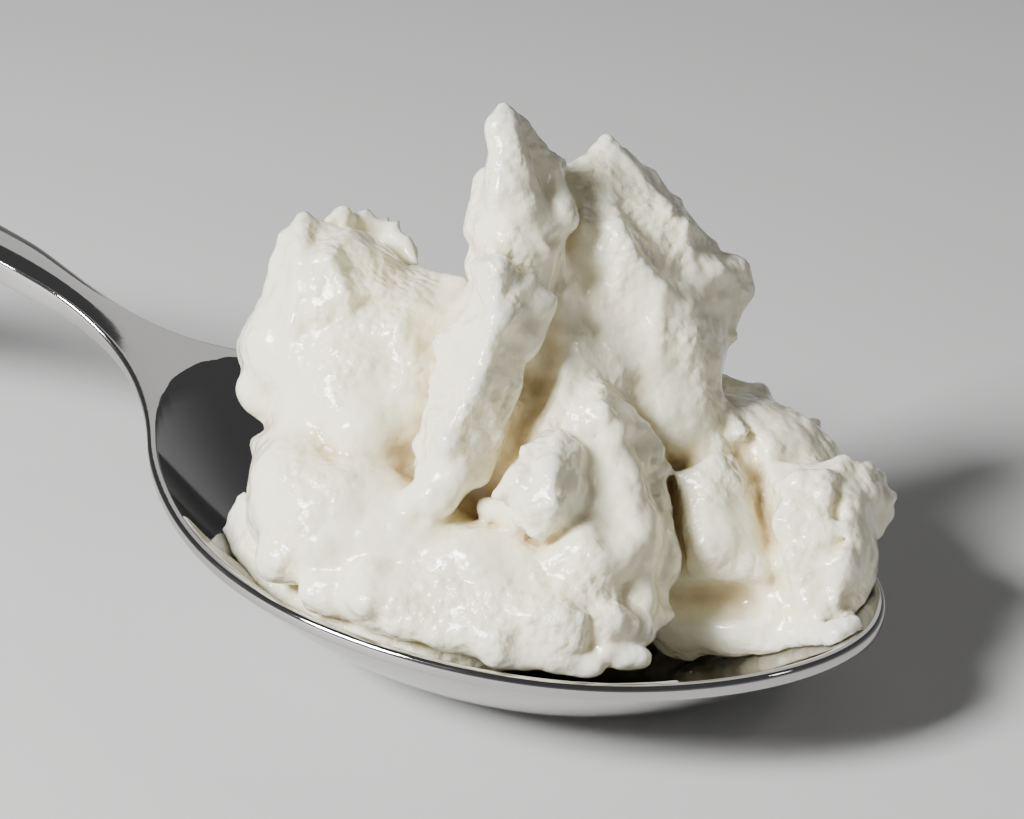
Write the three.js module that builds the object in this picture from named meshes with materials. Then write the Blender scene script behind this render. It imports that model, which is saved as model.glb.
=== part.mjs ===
// A spoonful of plain white quark: a polished steel tablespoon, resting on its bowl and on
// the end of its handle, with a tall craggy heap of fresh cheese in the bowl.
//
// Millimetres, +Z up. The origin is the lowest point of the bowl. +X runs to the spoon's tip.
import * as THREE from 'three';

// ---------------------------------------------------------------------------
// Driving dimensions of the spoon
// ---------------------------------------------------------------------------
const BOWL_HALF_LENGTH = 34; // from the origin to the inner edge at the tip
const BOWL_HALF_WIDTH = 22.1;
const BOWL_DEPTH = 10.6; // below the rim at the middle
const BOWL_FLATTEN = 0.35; // 0 is a parabola; more makes the floor flatter and the wall steeper
const OVAL_POWER = 0.53; // 0.5 is an ellipse
const EGG = 0.059; // how much narrower the bowl is towards its tip
const RIM_LIP = 0.8; // flat edge round the hollow
const RIM_WALL = 1.35; // height of the rim's side
const FLOOR_WALL = 1.9; // thickness under the middle of the bowl
const SHOULDER_START = -30.1; // where the oval turns into the shoulder
const NECK_X = -54.3; // narrowest place
const NECK_HALF_WIDTH = 2.4;
const NECK_LIP = 0.2;
const NECK_WALL = 2.4;
const HANDLE_WIDE_X = -150; // widest place of the handle
const HANDLE_HALF_WIDTH = 9.5;
const HANDLE_END_X = -165;
const HANDLE_WALL = 1.9;
const HANDLE_CROWN = 0.45; // how much the handle's top is arched
const SHOULDER_PULL = 1.14; // tangent lengths of the shoulder curve
const NECK_PULL = 0.68;

// Side view of the spoon: height of its top edge at stations along it, from end to tip.
const SIDE_VIEW = [
  [-165, 1.9], [-156, 2.9], [-144, 7.6], [-125, 17], [-100, 26.4], [-76, 30.6], [-58, 28.6], [-46, 24.4],
  [-38, 20.7], [-31, 17.8], [-24, 15.3], [-14, 13.2], [0, 11.9], [17, 11.1], [34, 11.6],
];

const BOWL_STATIONS = 22; // sections from the tip to the shoulder
const SHOULDER_STATIONS = 9;
const HANDLE_STATIONS = 14;
const END_STATIONS = 5;
const ACROSS = 12; // strips across the spoon's top, and across its underside

// ---------------------------------------------------------------------------
// Driving dimensions of the quark
// ---------------------------------------------------------------------------
// The heap is laid out on three axes turned to face its broad front: across, rise and near.
const HEAP_TURN = THREE.MathUtils.degToRad(29.4); // about the vertical, from the spoon's own axis
const HEAP_LEAN = THREE.MathUtils.degToRad(25.4); // how far the rise axis leans back

const SPOON_GAP = 0.5; // kept between the quark's facets and the steel's
const GRID_STEP = 1.55; // pitch of the lattice that the surface is drawn on
const GRID_LOW = [-30, -24, -1];
const GRID_HIGH = [40, 33, 52];
const SKIN = 3.5; // unevenness is worked out this far either side of the smooth surface

// Unevenness of the curd: broad waves, smaller waves, and rounded grains.
const WAVES = [
  { size: 7, height: 0.35, seed: 11 },
  { size: 3.2, height: 0.2, seed: 12 },
];
const GRAINS = { size: 2.5, height: 0.4, level: 0.3, seed: 13 };

const dot = (a, b) => a[0] * b[0] + a[1] * b[1] + a[2] * b[2];
const cross = (a, b) => [a[1] * b[2] - a[2] * b[1], a[2] * b[0] - a[0] * b[2], a[0] * b[1] - a[1] * b[0]];
const minus = (a, b) => [a[0] - b[0], a[1] - b[1], a[2] - b[2]];

// Planes round the space behind a plate: its face, a back at the given depth, and three sides that
// run straight back. Each is a direction that points out and how far out it lies.
function fillPlanes(ends, depth) {
  const across = cross(minus(ends[1], ends[0]), minus(ends[2], ends[1]));
  const size = Math.hypot(...across) * (across[2] > 0 ? 1 : -1);
  const out = across.map((value) => value / size);
  const face = dot(out, ends[0]);
  const planes = [{ out, at: face }, { out: out.map((value) => -value), at: depth * out[2] - face }];
  ends.forEach((end, i) => {
    const edge = minus(ends[(i + 1) % 3], end);
    const side = [edge[1], -edge[0], 0].map((value) => value / Math.hypot(edge[0], edge[1]));
    const flip = dot(side, minus(ends[(i + 2) % 3], end)) > 0 ? -1 : 1;
    const away = side.map((value) => value * flip);
    planes.push({ out: away, at: dot(away, end) });
  });
  return planes;
}

// A ball that holds a plate and the space behind it.
function roundSize(ends, depth) {
  const middle = [0, 1, 2].map((axis) => (ends[0][axis] + ends[1][axis] + ends[2][axis]) / 3);
  return { middle, reach: Math.max(...ends.map((end) => Math.hypot(...minus(end, middle)))) + depth };
}

// Lumps of the heap. A cone has round ends: blend, then centre and radius of each end.
const cone = (blend, x1, y1, z1, r1, x2, y2, z2, r2) => ({
  kind: 'cone', blend, a: [x1, y1, z1], b: [x2, y2, z2], ra: r1, rb: r2,
});
// A ball is an ellipsoid: blend, centre, then its three radii.
const ball = (blend, x, y, z, rx, ry, rz) => ({ kind: 'ball', blend, a: [x, y, z], r: [rx, ry, rz] });
// A shell is a set of three-cornered plates that make flat faces and crisp crests: blend, half the
// thickness, the depth filled behind each plate, its named corners, and the corners of each plate.
const shell = (blend, half, depth, corners, plates) => plates.trim().split(/\s+/).map((names) => {
  const ends = [...names].map((name) => corners[name]);
  return { kind: 'plate', blend, half, ends, planes: fillPlanes(ends, depth), ...roundSize(ends, depth) };
});

// Core mass behind everything that shows.
const corePile = [
  ball(2, -12, 19, 6, 9, 13, 9),
  ball(2, 1.5, 18.5, 7, 12, 14, 11),
  ball(2, 19, 14, 2, 12, 8.5, 9),
  ball(2, 1.5, 16.5, -5, 15, 9, 8),
  ball(1.5, -8, 23, -5, 5, 5, 5),
  ball(1.5, 9.5, 23, -5, 6, 5.5, 5),
];

// Upper left boulder with its hanging bulge and, behind it, a thin fan.
const leftBoulder = [
  ball(1.5, -14.5, 30.5, 4.5, 6.4, 6.4, 7.5),
  ball(1.5, -17.5, 26, 4, 6, 5.6, 7),
  ball(1.5, -9.5, 27.5, 5.5, 5.6, 5.2, 7),
  cone(0.5, -22.5, 21.5, 3.5, 0.7, -20.5, 23, 5, 3),
  cone(0.6, -22.5, 26.5, 3.5, 0.9, -20, 28, 5, 3),
  cone(1.2, -4, 31.5, 6.5, 1, -7, 23.5, 8, 4.4),
  cone(1.2, -12.5, 22, 10.5, 2.6, -12, 19, 13.5, 3.1),
  cone(0.8, -9, 28, 11.5, 1.5, -8.5, 23, 12, 2),
  ball(1.2, -8, 21.5, 10, 3, 5.5, 4.4),
  cone(0.5, -14.5, 36, 1.5, 1.3, -9, 35, 2, 1.3),
];

// Crest and front of the left boulder.
const leftCrest = shell(0.6, 0.5, 4, {
  A: [-17.5, 37.5, 8], B: [-19, 36, 8], C: [-20, 33.5, 7.5], D: [-22, 29, 5], E: [-15.5, 36.5, 7],
  F: [-13.5, 36, 7.5], G: [-13, 34.5, 8.5], H: [-11.5, 34, 8], I: [-17.5, 33.5, 11],
  J: [-15, 33.5, 12], K: [-13.5, 30.5, 12.5], L: [-18, 28.5, 11], M: [-21, 26, 7], N: [-13.5, 26, 11],
  O: [-16.5, 24, 10], P: [-9.5, 33.5, 6], Q: [-7.5, 33, 5.5], R: [-3.5, 32, 6], S: [-10.5, 31, 10.5],
  T: [-5.5, 30, 8.5],
}, `
  ABI BCI AIE IJE EJF FJG JKG IKJ ILK CLI CDL DML LNK LON MOL GHS GSK HPS PQS QTS QRT
`);

// Fan with a toothed edge.
const leftFan = shell(0.3, 0.4, 1.6, {
  A: [-16, 37, 5], B: [-14.5, 38.5, 3.5], C: [-13.5, 38, 2], D: [-12.5, 38.5, 2], E: [-11.5, 37.5, 2],
  F: [-10, 37.5, 2], G: [-9, 36, 2.5], H: [-8, 34, 3.5], I: [-13, 35.5, 1], J: [-10, 34.5, 1],
}, `
  ABI BCI CDI DEI EJI EFJ FGJ GHJ
`);

// Lower left lobe, running along the near rim of the bowl.
const leftFoot = [
  cone(0.5, -22, 18, 6, 0.6, -19, 17, 9, 2.8),
  ball(1.2, -17.5, 13.5, 12, 4.5, 5.8, 5),
  ball(1.2, -13.5, 11.5, 14.5, 7, 5.6, 5),
  cone(0.6, -21.5, 13, 9, 0.9, -20, 11.5, 11, 2),
  cone(0.6, -20.5, 15.5, 9, 0.8, -18.5, 15, 11, 2),
  ball(1, -18, 8.5, 15.5, 3, 2.4, 3),
  cone(0.9, -16, 11, 17.5, 1.1, -15.5, 10, 18, 1.6),
  cone(0.9, -13, 14, 17.5, 1.1, -13, 13, 18, 1.3),
  cone(1, -15, 6, 18, 2, -8.5, 4.5, 20, 2.2),
  ball(1.5, -8.5, 9.5, 16, 7, 5, 4.6),
  ball(1.2, -2, 8, 19, 5, 3.4, 3.8),
  cone(1.2, -11, 6, 20, 2.2, 4.5, 4.5, 22, 2.6),
  cone(0.8, -8.5, 4, 21.5, 1.5, -0.5, 2, 23.5, 1.5),
  cone(0.7, -11, 7.5, 20.5, 1.3, -11, 5.5, 21.5, 1.5),
  cone(0.9, -4.5, 3, 22, 1.8, 5, 3, 23.5, 1.7),
  cone(0.7, -0.5, 1.5, 23.5, 1.3, 7, 0.5, 23.5, 1),
  cone(1.5, 1, 8, 18.5, 2.6, 6, 6.5, 20, 3.2),
];

// Flap of thin curd at the left end of the foot.
const leftFlap = shell(0.6, 0.6, 2.5, {
  A: [-25.5, 9, 3], B: [-23, 13, 5], C: [-21, 8.5, 9], D: [-17.5, 5.5, 14],
}, `
  ABC ACD
`);

// Tallest peak.
const tallPeak = [
  ball(1.2, 1, 31.5, 10, 4.2, 6.4, 5.5),
  cone(0.8, 0.5, 43, 15, 1.3, 1, 35.5, 14.5, 3.6),
  cone(0.4, 0, 46, 16.5, 0.3, 0, 44.5, 16.5, 1.3),
  cone(0.7, 0, 44.5, 16.5, 1.3, 0.5, 39.5, 16.5, 2.3),
  cone(0.8, 0, 38.5, 17, 1.8, 1.5, 37.5, 17, 1.7),
  cone(0.6, -1.5, 41, 13, 0.6, -2, 36, 13.5, 1.7),
  cone(0.5, -2.5, 37.5, 12.5, 0.5, -2, 33.5, 13.5, 1.5),
  cone(0.7, 4, 41.5, 13.5, 0.7, 4.5, 37, 14.5, 1.6),
  cone(0.7, -0.5, 34, 17.5, 1.2, 3, 34.5, 16.5, 1.3),
  cone(1, 1, 35.5, 14.5, 3.6, 1.5, 30.5, 12, 4.6),
  cone(1.2, 5.5, 34.5, 10, 2.4, 4, 26, 12, 3.2),
];

// Faces of the tallest peak.
const peakFaces = shell(0.5, 0.5, 4, {
  A: [0, 46, 16.5], B: [1.5, 45, 15], C: [3, 43, 14], D: [5, 42, 12], E: [2, 40, 15.5],
  F: [3.5, 37, 14.5], G: [-1, 44, 15.5], H: [-0.5, 41.5, 15], I: [-2, 40.5, 13], J: [-2.5, 37.5, 12],
  K: [-2.5, 34, 12.5], L: [-0.5, 38.5, 16],
}, `
  ABE BCE CDF CFE AGE GHL HIL IJL JKL EFL
`);

// Big right boulder.
const rightBoulder = [
  ball(1.2, 12, 34, 2.5, 5.3, 6.3, 5.2),
  ball(1.2, 15.5, 29.5, 2.5, 5, 5.8, 5.2),
  ball(1.5, 12, 26, 5.5, 7.2, 7.5, 7.5),
  ball(1.2, 15.5, 25, 5, 2.9, 4, 5),
  ball(1.5, 12.5, 20.5, 7, 6.5, 5, 5.6),
  cone(1, 7, 35.5, 9.5, 2.3, 7.5, 24.5, 10, 4.2),
  cone(0.8, 3.5, 40, 9, 2.4, 8.5, 38, 5, 3.4),
];

// Sloping crest of the right boulder with its two ridges.
const rightCrest = shell(0.5, 0.5, 5, {
  A: [5.5, 42, 7], B: [8, 43.5, 6], C: [9, 44.5, 5.5], D: [10.5, 43.5, 4.5], E: [13, 42, 3.5],
  F: [15, 39.5, 3], G: [16.5, 37.5, 3], H: [18.5, 35.5, 3.5], I: [20.5, 33.5, 3.5], J: [21.5, 31.5, 3],
  K: [20, 27.5, 4.5], L: [14, 38, 8.5], M: [15.5, 37, 8.5], N: [16, 34.5, 8.5], O: [18.5, 33, 7],
  P: [9, 39, 9.5], Q: [12.5, 34.5, 9.5], R: [16.5, 31.5, 8.5], S: [9.5, 36.5, 12.5],
  T: [10.5, 34.5, 13], U: [13, 31.5, 12], V: [15.5, 29.5, 10.5], W: [7, 36.5, 12], X: [6.5, 30.5, 12],
  Y: [8.5, 28, 11.5], Z: [13, 26.5, 12.5], a: [7, 40.5, 8.5],
}, `
  ABa BPa BCP CLP CDL DEL EFL FGM FML GHM HNM HIO HON LQP LNQ NRQ NOR PQS SQT TQU UQR URV OIJ ROJ
  VRJ VJK PSW aPW WST WTY WYX TUY UZY UVZ VKZ
`);

// Slab that leans across the front of the two boulders.
const leaningSlab = [
  cone(0.8, 0.5, 29, 15.5, 2.6, -3.5, 18.5, 17, 2.6),
  cone(0.6, -4, 19.5, 18.5, 2.4, -4.5, 15.5, 19.5, 2),
  cone(0.7, -7.5, 13.5, 19, 1.2, -5.5, 14, 19.5, 1.9),
  cone(0.4, -2, 33, 18.5, 0.6, -0.5, 32.5, 19.5, 1.2),
];

// The two long faces of the slab.
const slabFaces = shell(0.9, 0.6, 3, {
  A: [-2, 32.5, 18.5], B: [-2.5, 29, 17.5], C: [-5, 26.5, 16], D: [-5.5, 23.5, 16.5],
  E: [-5.5, 21, 17.5], F: [-7, 18, 17], G: [-6.5, 16, 18.5], H: [-0.5, 32.5, 20], I: [2, 31.5, 18.5],
  J: [3.5, 30, 17.5], K: [3, 26.5, 17], L: [1.5, 23, 17.5], M: [-0.5, 18.5, 18.5], N: [-2, 15.5, 19],
  O: [-0.5, 28.5, 21], P: [-2, 23.5, 21], Q: [-4.5, 18.5, 21],
}, `
  ABO AOH HOI IOJ JOK OPK KPL PML BCO CPO CDP DEP EQP EFQ FGQ PQM QNM QGN
`);

// Cone in front, with the angular knob on its left flank.
const frontCone = [
  cone(0.8, 7.5, 21, 15.5, 2.3, 8.5, 10, 18, 4.6),
  cone(0.6, 12, 16, 13.5, 1.3, 12, 8.5, 16, 2.8),
  ball(1, 7, 9, 20, 4, 3.2, 3.8),
  cone(0.7, 5.5, 5, 22, 1.6, 8, 4, 22.5, 1.7),
  cone(0.7, 8, 4, 22.5, 1.7, 11, 3, 21, 1.3),
  cone(0.4, 8, 1.5, 23, 1, 11, 1, 22.5, 1),
  cone(0.8, 4, 17.5, 18.5, 2, 4, 13.5, 20, 3),
  cone(0.4, -0.5, 14, 21.5, 0.5, 1.5, 15, 21.5, 1.7),
  cone(0.5, 2.5, 11.5, 22.5, 0.8, 3.5, 13.5, 22, 2.2),
  cone(0.6, -1.5, 13, 18.5, 0.7, 1.5, 12.5, 19.5, 1.7),
];

// Faces of the cone, with its ragged right edge.
const coneFaces = shell(0.5, 0.5, 4, {
  A: [5, 22, 15.5], B: [6.5, 23, 15], C: [8.5, 22.5, 15], D: [10.5, 21, 14.5], E: [11.5, 19.5, 14.5],
  F: [13, 17.5, 13.5], G: [13.5, 16, 13.5], H: [12.5, 15, 14], I: [13.5, 13, 14], J: [13, 9.5, 14.5],
  K: [12, 8, 16], L: [13, 5.5, 16.5], M: [13.5, 4, 17], N: [11.5, 2.5, 19.5], O: [4.5, 20.5, 17],
  P: [8, 21, 18.5], Q: [9.5, 19.5, 18], R: [8.5, 17, 19.5], S: [8.5, 14.5, 20.5], T: [9.5, 11, 20.5],
  U: [9.5, 8.5, 21], V: [6.5, 16, 19.5], W: [8.5, 5, 22.5],
}, `
  ABP BCP CQP CDQ DEQ ERQ EFR FGR GHR HSR HIS ITS IJT JUT JKU APO OPV PQR PRV VRS KLU LMW ULW MNW
`);

// Faces of the knob.
const knobFaces = shell(0.4, 0.5, 3, {
  A: [2.5, 18, 19.5], B: [4.5, 19, 20], C: [6, 18, 20], D: [7, 16, 20], E: [6.5, 13.5, 20.5],
  F: [5.5, 12, 21], G: [3, 11, 22.5], H: [1, 12, 22], I: [1, 13.5, 22], J: [1, 15.5, 21],
  K: [1.5, 17.5, 20], L: [3.5, 15.5, 23.5], M: [4, 13.5, 24],
}, `
  ABL BCL CDL DEM DML EFM FGM GHM HIM IJL ILM JKL KAL
`);

// Column right of the cone, and the thin pool at its foot.
const rightColumn = [
  cone(0.8, 17.5, 15, 9.5, 2.5, 17.5, 9.5, 11, 4.1),
  cone(0.8, 20, 12.5, 9, 2.1, 20.5, 8, 10.5, 3.1),
  cone(0.6, 15.5, 15, 10, 1, 16.5, 14, 10.5, 1.8),
  cone(0.8, 16.5, 8, 12, 2.6, 20.5, 8, 11.5, 2.6),
  cone(0.8, 15.5, 2.5, 6, 1.8, 22.5, 3, 7, 1.8),
  cone(1, 23, 9, 7, 2.6, 24, 5, 11, 2.6),
  cone(1, 14, 1.5, 10, 1, 19.5, 2, 13, 0.9),
  cone(1, 19.5, 2, 12, 0.9, 28.5, 3.5, 17, 1),
];

// Craggy lump that overhangs the tip of the spoon, and the low lump behind it.
const tipLump = [
  ball(1, 27, 8, 11.5, 4.8, 6.2, 6.2),
  ball(1, 27, 12.5, 9.5, 4.8, 3.8, 5.2),
  cone(0.5, 34, 6.5, 6, 0.5, 31.5, 6, 9, 2),
  cone(0.5, 20, 23, -3, 1, 23, 22, -3, 1),
  ball(0.8, 22.5, 18.5, 0.5, 4.6, 2.2, 4.6),
  ball(1, 17.5, 19, 3, 3.6, 3.6, 4.6),
  cone(0.8, 19, 18, 6, 2.2, 21, 16.5, 7, 2.2),
  cone(0.6, 22, 20.5, 3, 1, 22.5, 17, 7, 2),
  cone(0.6, 25, 20, 2, 1, 25, 17, 6, 2),
];

// Faces of the tip lump.
const tipFaces = shell(0.4, 0.5, 5, {
  A: [22.5, 16, 10], B: [25, 16, 11], C: [26, 15.5, 11], D: [28, 16, 10.5], E: [29, 16.5, 10],
  F: [30.5, 15.5, 9.5], G: [31.5, 16, 8.5], H: [32.5, 15, 8], I: [33, 13.5, 8], J: [33, 12, 8.5],
  K: [32, 10.5, 10], L: [22.5, 12, 9.5], M: [22.5, 8, 11], N: [23.5, 5, 12.5], O: [24, 13.5, 14.5],
  P: [27, 14, 15], Q: [29, 13, 13.5], R: [24.5, 9.5, 16.5], S: [27, 9.5, 15.5], T: [29.5, 10.5, 12.5],
  U: [30.5, 10.5, 13], V: [28, 9, 17.5], W: [30, 7.5, 14], X: [30, 5, 15], Y: [28.5, 3, 16],
  Z: [26, 3, 16.5], a: [24.5, 6, 16.5], b: [27.5, 5.5, 17.5],
}, `
  ABO BCO CPO CDP DEP EQP EFQ FHQ FGH HIQ IJQ JTQ JKT QTS PQS OPS OSR AOL LOR LRM MRa MaN NaZ TUV
  UWV SVR RVa Vba VWb WXb XYb YZb Zab
`);

// Faces of the low lump behind.
const rearFaces = shell(0.4, 0.5, 4, {
  A: [20, 23, -4], B: [23.5, 22.5, -4], C: [25, 21, -3], D: [26.5, 19.5, -2], E: [28, 19.5, -1.5],
  F: [28, 18.5, 0], G: [27, 16, 4], H: [20, 21, 4], I: [23, 20, 4.5], J: [25.5, 18.5, 5.5],
  K: [20, 19, 8.5], L: [23, 18.5, 8.5], M: [25.5, 17, 7.5],
}, `
  ABH BIH BCI CDJ CJI DEJ EFJ FGJ HIK ILK IJL JML JGM
`);

// Hollows and creases pressed into the heap.
const hollows = [
  cone(0.6, 5, 33.5, 15, 0.5, 4.5, 28.5, 16, 1),
  cone(0.6, 4.5, 28.5, 16, 1, 3, 23.5, 17, 1.6),
  cone(0.6, 3, 23.5, 17, 1.6, 0.5, 16.5, 19.5, 1.4),
  cone(0.5, 6, 41.5, 9.5, 0.8, 7, 40, 11, 1.5),
  cone(0.4, 4, 35, 17, 0.4, 5.5, 35.5, 15, 0.5),
  cone(0.4, -12.5, 24, 15, 0.4, -10.5, 21.5, 16, 0.6),
  cone(0.4, 21.5, 16, 10, 1, 22, 13, 13, 0.5),
  cone(0.4, 29, 10.5, 15.5, 0.3, 27, 9.5, 17.5, 0.4),
  cone(0.4, 22.5, 6.5, 15, 0.6, 23, 5, 15.5, 0.7),
  cone(0.5, 6, 6, 24.5, 0.5, 6.5, 5.5, 24.5, 0.5),
];

// Quark that fills the bowl, in the spoon's own axes.
const bowlFill = [
  ball(2, -5, -3, 8.5, 17, 17.5, 6),
  ball(2, 17, 8.5, 8, 15.5, 11, 5.5),
  ball(2, -4, 8, 9, 19, 12, 6),
];

// Every lump of the heap, in the order in which they are joined.
const heapLumps = [
  ...corePile, ...leftBoulder, ...leftCrest, ...leftFan, ...leftFoot, ...leftFlap, ...tallPeak,
  ...peakFaces, ...rightBoulder, ...rightCrest, ...leaningSlab, ...slabFaces, ...frontCone,
  ...coneFaces, ...knobFaces, ...rightColumn, ...tipLump, ...tipFaces, ...rearFaces,
];

// ---------------------------------------------------------------------------
// The spoon
// ---------------------------------------------------------------------------
const clamp = THREE.MathUtils.clamp;
const lerp = THREE.MathUtils.lerp;
const smooth = THREE.MathUtils.smoothstep;
const SMALL_STEP = 0.001; // for slopes worked out from two close points
const NEWTON_ROUNDS = 8;

// Natural cubic through the side view's stations, as a function of x.
function sideCurve(stations) {
  const n = stations.length;
  const second = new Array(n).fill(0);
  const upper = new Array(n).fill(0);
  for (let i = 1; i < n - 1; i += 1) {
    const [x0, z0] = stations[i - 1];
    const [x1, z1] = stations[i];
    const [x2, z2] = stations[i + 1];
    const share = (x1 - x0) / (x2 - x0);
    const pivot = share * second[i - 1] + 2;
    const bend = (z2 - z1) / (x2 - x1) - (z1 - z0) / (x1 - x0);
    second[i] = (share - 1) / pivot;
    upper[i] = ((6 * bend) / (x2 - x0) - share * upper[i - 1]) / pivot;
  }
  const curve = new Array(n).fill(0);
  for (let i = n - 2; i > 0; i -= 1) curve[i] = second[i] * curve[i + 1] + upper[i];
  return (x) => {
    const at = clamp(x, stations[0][0], stations[n - 1][0]);
    let i = 0;
    while (i < n - 2 && at > stations[i + 1][0]) i += 1;
    const [x0, z0] = stations[i];
    const [x1, z1] = stations[i + 1];
    const step = x1 - x0;
    const a = (x1 - at) / step;
    const b = (at - x0) / step;
    const bend = ((a ** 3 - a) * curve[i] + (b ** 3 - b) * curve[i + 1]) * step ** 2 / 6;
    return a * z0 + b * z1 + bend;
  };
}
const rimHeight = sideCurve(SIDE_VIEW);

// Half width of the oval hollow, squared; negative beyond its ends.
function ovalSquared(x) {
  const left = 1 - (x / BOWL_HALF_LENGTH) ** 2;
  const width = BOWL_HALF_WIDTH * (1 - (EGG * x) / BOWL_HALF_LENGTH);
  return Math.sign(left) * Math.abs(left) ** (2 * OVAL_POWER) * width ** 2;
}

// Top of the spoon: the hollow inside the oval, the level of the rim outside it.
function topHeight(x, y) {
  const inside = (ovalSquared(x) - y * y) / BOWL_HALF_WIDTH ** 2;
  if (inside <= 0) return rimHeight(x);
  return rimHeight(x) - BOWL_DEPTH * inside * (1 + BOWL_FLATTEN * (1 - inside));
}

// Half width of the whole outline, without the lip, from the tip back to the handle's end.
function halfWidth(x) {
  if (x >= SHOULDER_START) return Math.sqrt(Math.max(ovalSquared(x), 0));
  if (x >= NECK_X) {
    const run = NECK_X - SHOULDER_START;
    const t = (x - SHOULDER_START) / run;
    const width = Math.sqrt(ovalSquared(SHOULDER_START));
    const slope = (Math.sqrt(ovalSquared(SHOULDER_START + SMALL_STEP)) - width) / SMALL_STEP;
    const alongPull = run * SHOULDER_PULL;
    const endPull = run * NECK_PULL;
    // The shoulder is a curve in plan, so its parameter is found from x first.
    let s = t;
    for (let round = 0; round < NEWTON_ROUNDS; round += 1) {
      const at = hermite(s, SHOULDER_START, alongPull, NECK_X, endPull);
      const ahead = hermite(s + SMALL_STEP, SHOULDER_START, alongPull, NECK_X, endPull);
      const rate = (ahead - at) / SMALL_STEP;
      s = clamp(s - (at - x) / rate, 0, 1);
    }
    return hermite(s, width, slope * alongPull, NECK_HALF_WIDTH, 0);
  }
  if (x >= HANDLE_WIDE_X) {
    return lerp(HANDLE_HALF_WIDTH, NECK_HALF_WIDTH, smooth(x, HANDLE_WIDE_X, NECK_X));
  }
  const end = (HANDLE_WIDE_X - x) / (HANDLE_WIDE_X - HANDLE_END_X);
  return HANDLE_HALF_WIDTH * Math.sqrt(Math.max(1 - end * end, 0));
}

function hermite(t, from, fromPull, to, toPull) {
  const t2 = t * t;
  const t3 = t2 * t;
  return (2 * t3 - 3 * t2 + 1) * from + (t3 - 2 * t2 + t) * fromPull
    + (3 * t2 - 2 * t3) * to + (t3 - t2) * toPull;
}

// Stations along the spoon, closer together where the outline turns.
function spoonStations() {
  const xs = [];
  const bowlTurn = Math.acos(SHOULDER_START / BOWL_HALF_LENGTH);
  for (let i = 1; i <= BOWL_STATIONS; i += 1) {
    xs.push(BOWL_HALF_LENGTH * Math.cos((bowlTurn * i) / BOWL_STATIONS));
  }
  for (let i = 1; i <= SHOULDER_STATIONS; i += 1) {
    xs.push(lerp(SHOULDER_START, NECK_X, i / SHOULDER_STATIONS));
  }
  for (let i = 1; i <= HANDLE_STATIONS; i += 1) xs.push(lerp(NECK_X, HANDLE_WIDE_X, i / HANDLE_STATIONS));
  for (let i = 1; i < END_STATIONS; i += 1) {
    const turn = (Math.PI / 2) * (i / END_STATIONS);
    xs.push(lerp(HANDLE_WIDE_X, HANDLE_END_X, Math.sin(turn)));
  }
  return xs;
}

function lipWidth(x) {
  return lerp(NECK_LIP, RIM_LIP, smooth(x, NECK_X, SHOULDER_START));
}

function wallThickness(x, y) {
  const inside = (ovalSquared(x) - y * y) / BOWL_HALF_WIDTH ** 2;
  if (inside > 0) return lerp(RIM_WALL, FLOOR_WALL, Math.min(1, 2 * inside));
  const alongNeck = smooth(x, NECK_X, -BOWL_HALF_LENGTH);
  const alongHandle = smooth(x, HANDLE_WIDE_X, NECK_X);
  return lerp(lerp(HANDLE_WALL, NECK_WALL, alongHandle), RIM_WALL, alongNeck);
}

// One ring of points round the spoon at a station: top from -Y to +Y, then underside back.
function spoonRing(x) {
  const half = halfWidth(x);
  const slope = (halfWidth(x - SMALL_STEP) - halfWidth(x + SMALL_STEP)) / (2 * SMALL_STEP);
  const lip = lipWidth(x);
  const away = lip / Math.hypot(slope, 1);
  const edgeX = x + slope * away;
  const edgeY = half + away;
  const crown = HANDLE_CROWN * (1 - smooth(x, NECK_X, -BOWL_HALF_LENGTH));
  const top = [];
  const under = [];
  for (let i = 0; i <= ACROSS; i += 1) {
    const share = (2 * i) / ACROSS - 1;
    const y = share * half;
    const arch = crown * (1 - share * share);
    const level = topHeight(x, y) + arch;
    top.push([x, y, level]);
    under.push([x, y, Math.max(0, level - arch - wallThickness(x, y))]);
  }
  const edgeTop = rimHeight(edgeX);
  const edgeUnder = Math.max(0, edgeTop - wallThickness(x, half));
  return [
    [edgeX, -edgeY, edgeTop], ...top, [edgeX, edgeY, edgeTop],
    [edgeX, edgeY, edgeUnder], ...under.reverse(), [edgeX, -edgeY, edgeUnder],
  ];
}

// Skin between neighbouring rings, closed by a fan at the tip and at the handle's end.
function spoonGeometry() {
  const rings = spoonStations().map(spoonRing);
  const count = rings[0].length;
  const points = rings.flat();
  const faces = [];
  for (let r = 0; r + 1 < rings.length; r += 1) {
    for (let i = 0; i < count; i += 1) {
      const a = r * count + i;
      const b = r * count + ((i + 1) % count);
      faces.push([a, b, b + count], [a, b + count, a + count]);
    }
  }
  const topCount = ACROSS + 3;
  closeEnd(points, faces, 0, count, topCount, BOWL_HALF_LENGTH + RIM_LIP, RIM_WALL, true);
  closeEnd(points, faces, (rings.length - 1) * count, count, topCount, HANDLE_END_X, HANDLE_WALL, false);
  return meshFrom(points, faces);
}

// Two points at an end of the spoon, one above the other, joined to the last ring.
function closeEnd(points, faces, first, count, topCount, x, wall, isTip) {
  const top = rimHeight(x);
  const topPoint = points.push([x, 0, top]) - 1;
  const underPoint = points.push([x, 0, Math.max(0, top - wall)]) - 1;
  const add = (a, b, c) => faces.push(isTip ? [a, c, b] : [a, b, c]);
  for (let i = 0; i < count; i += 1) {
    const here = first + i;
    const next = first + ((i + 1) % count);
    const end = i < topCount - 1 || i === count - 1 ? topPoint : underPoint;
    add(here, next, end);
    if (i === topCount - 1) add(here, underPoint, topPoint);
    if (i === count - 1) add(here, topPoint, underPoint);
  }
}

function meshFrom(points, faces) {
  const geometry = new THREE.BufferGeometry();
  geometry.setAttribute('position', new THREE.Float32BufferAttribute(points.flat(), 3));
  geometry.setIndex(faces.flat());
  geometry.computeVertexNormals();
  return geometry;
}

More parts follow.
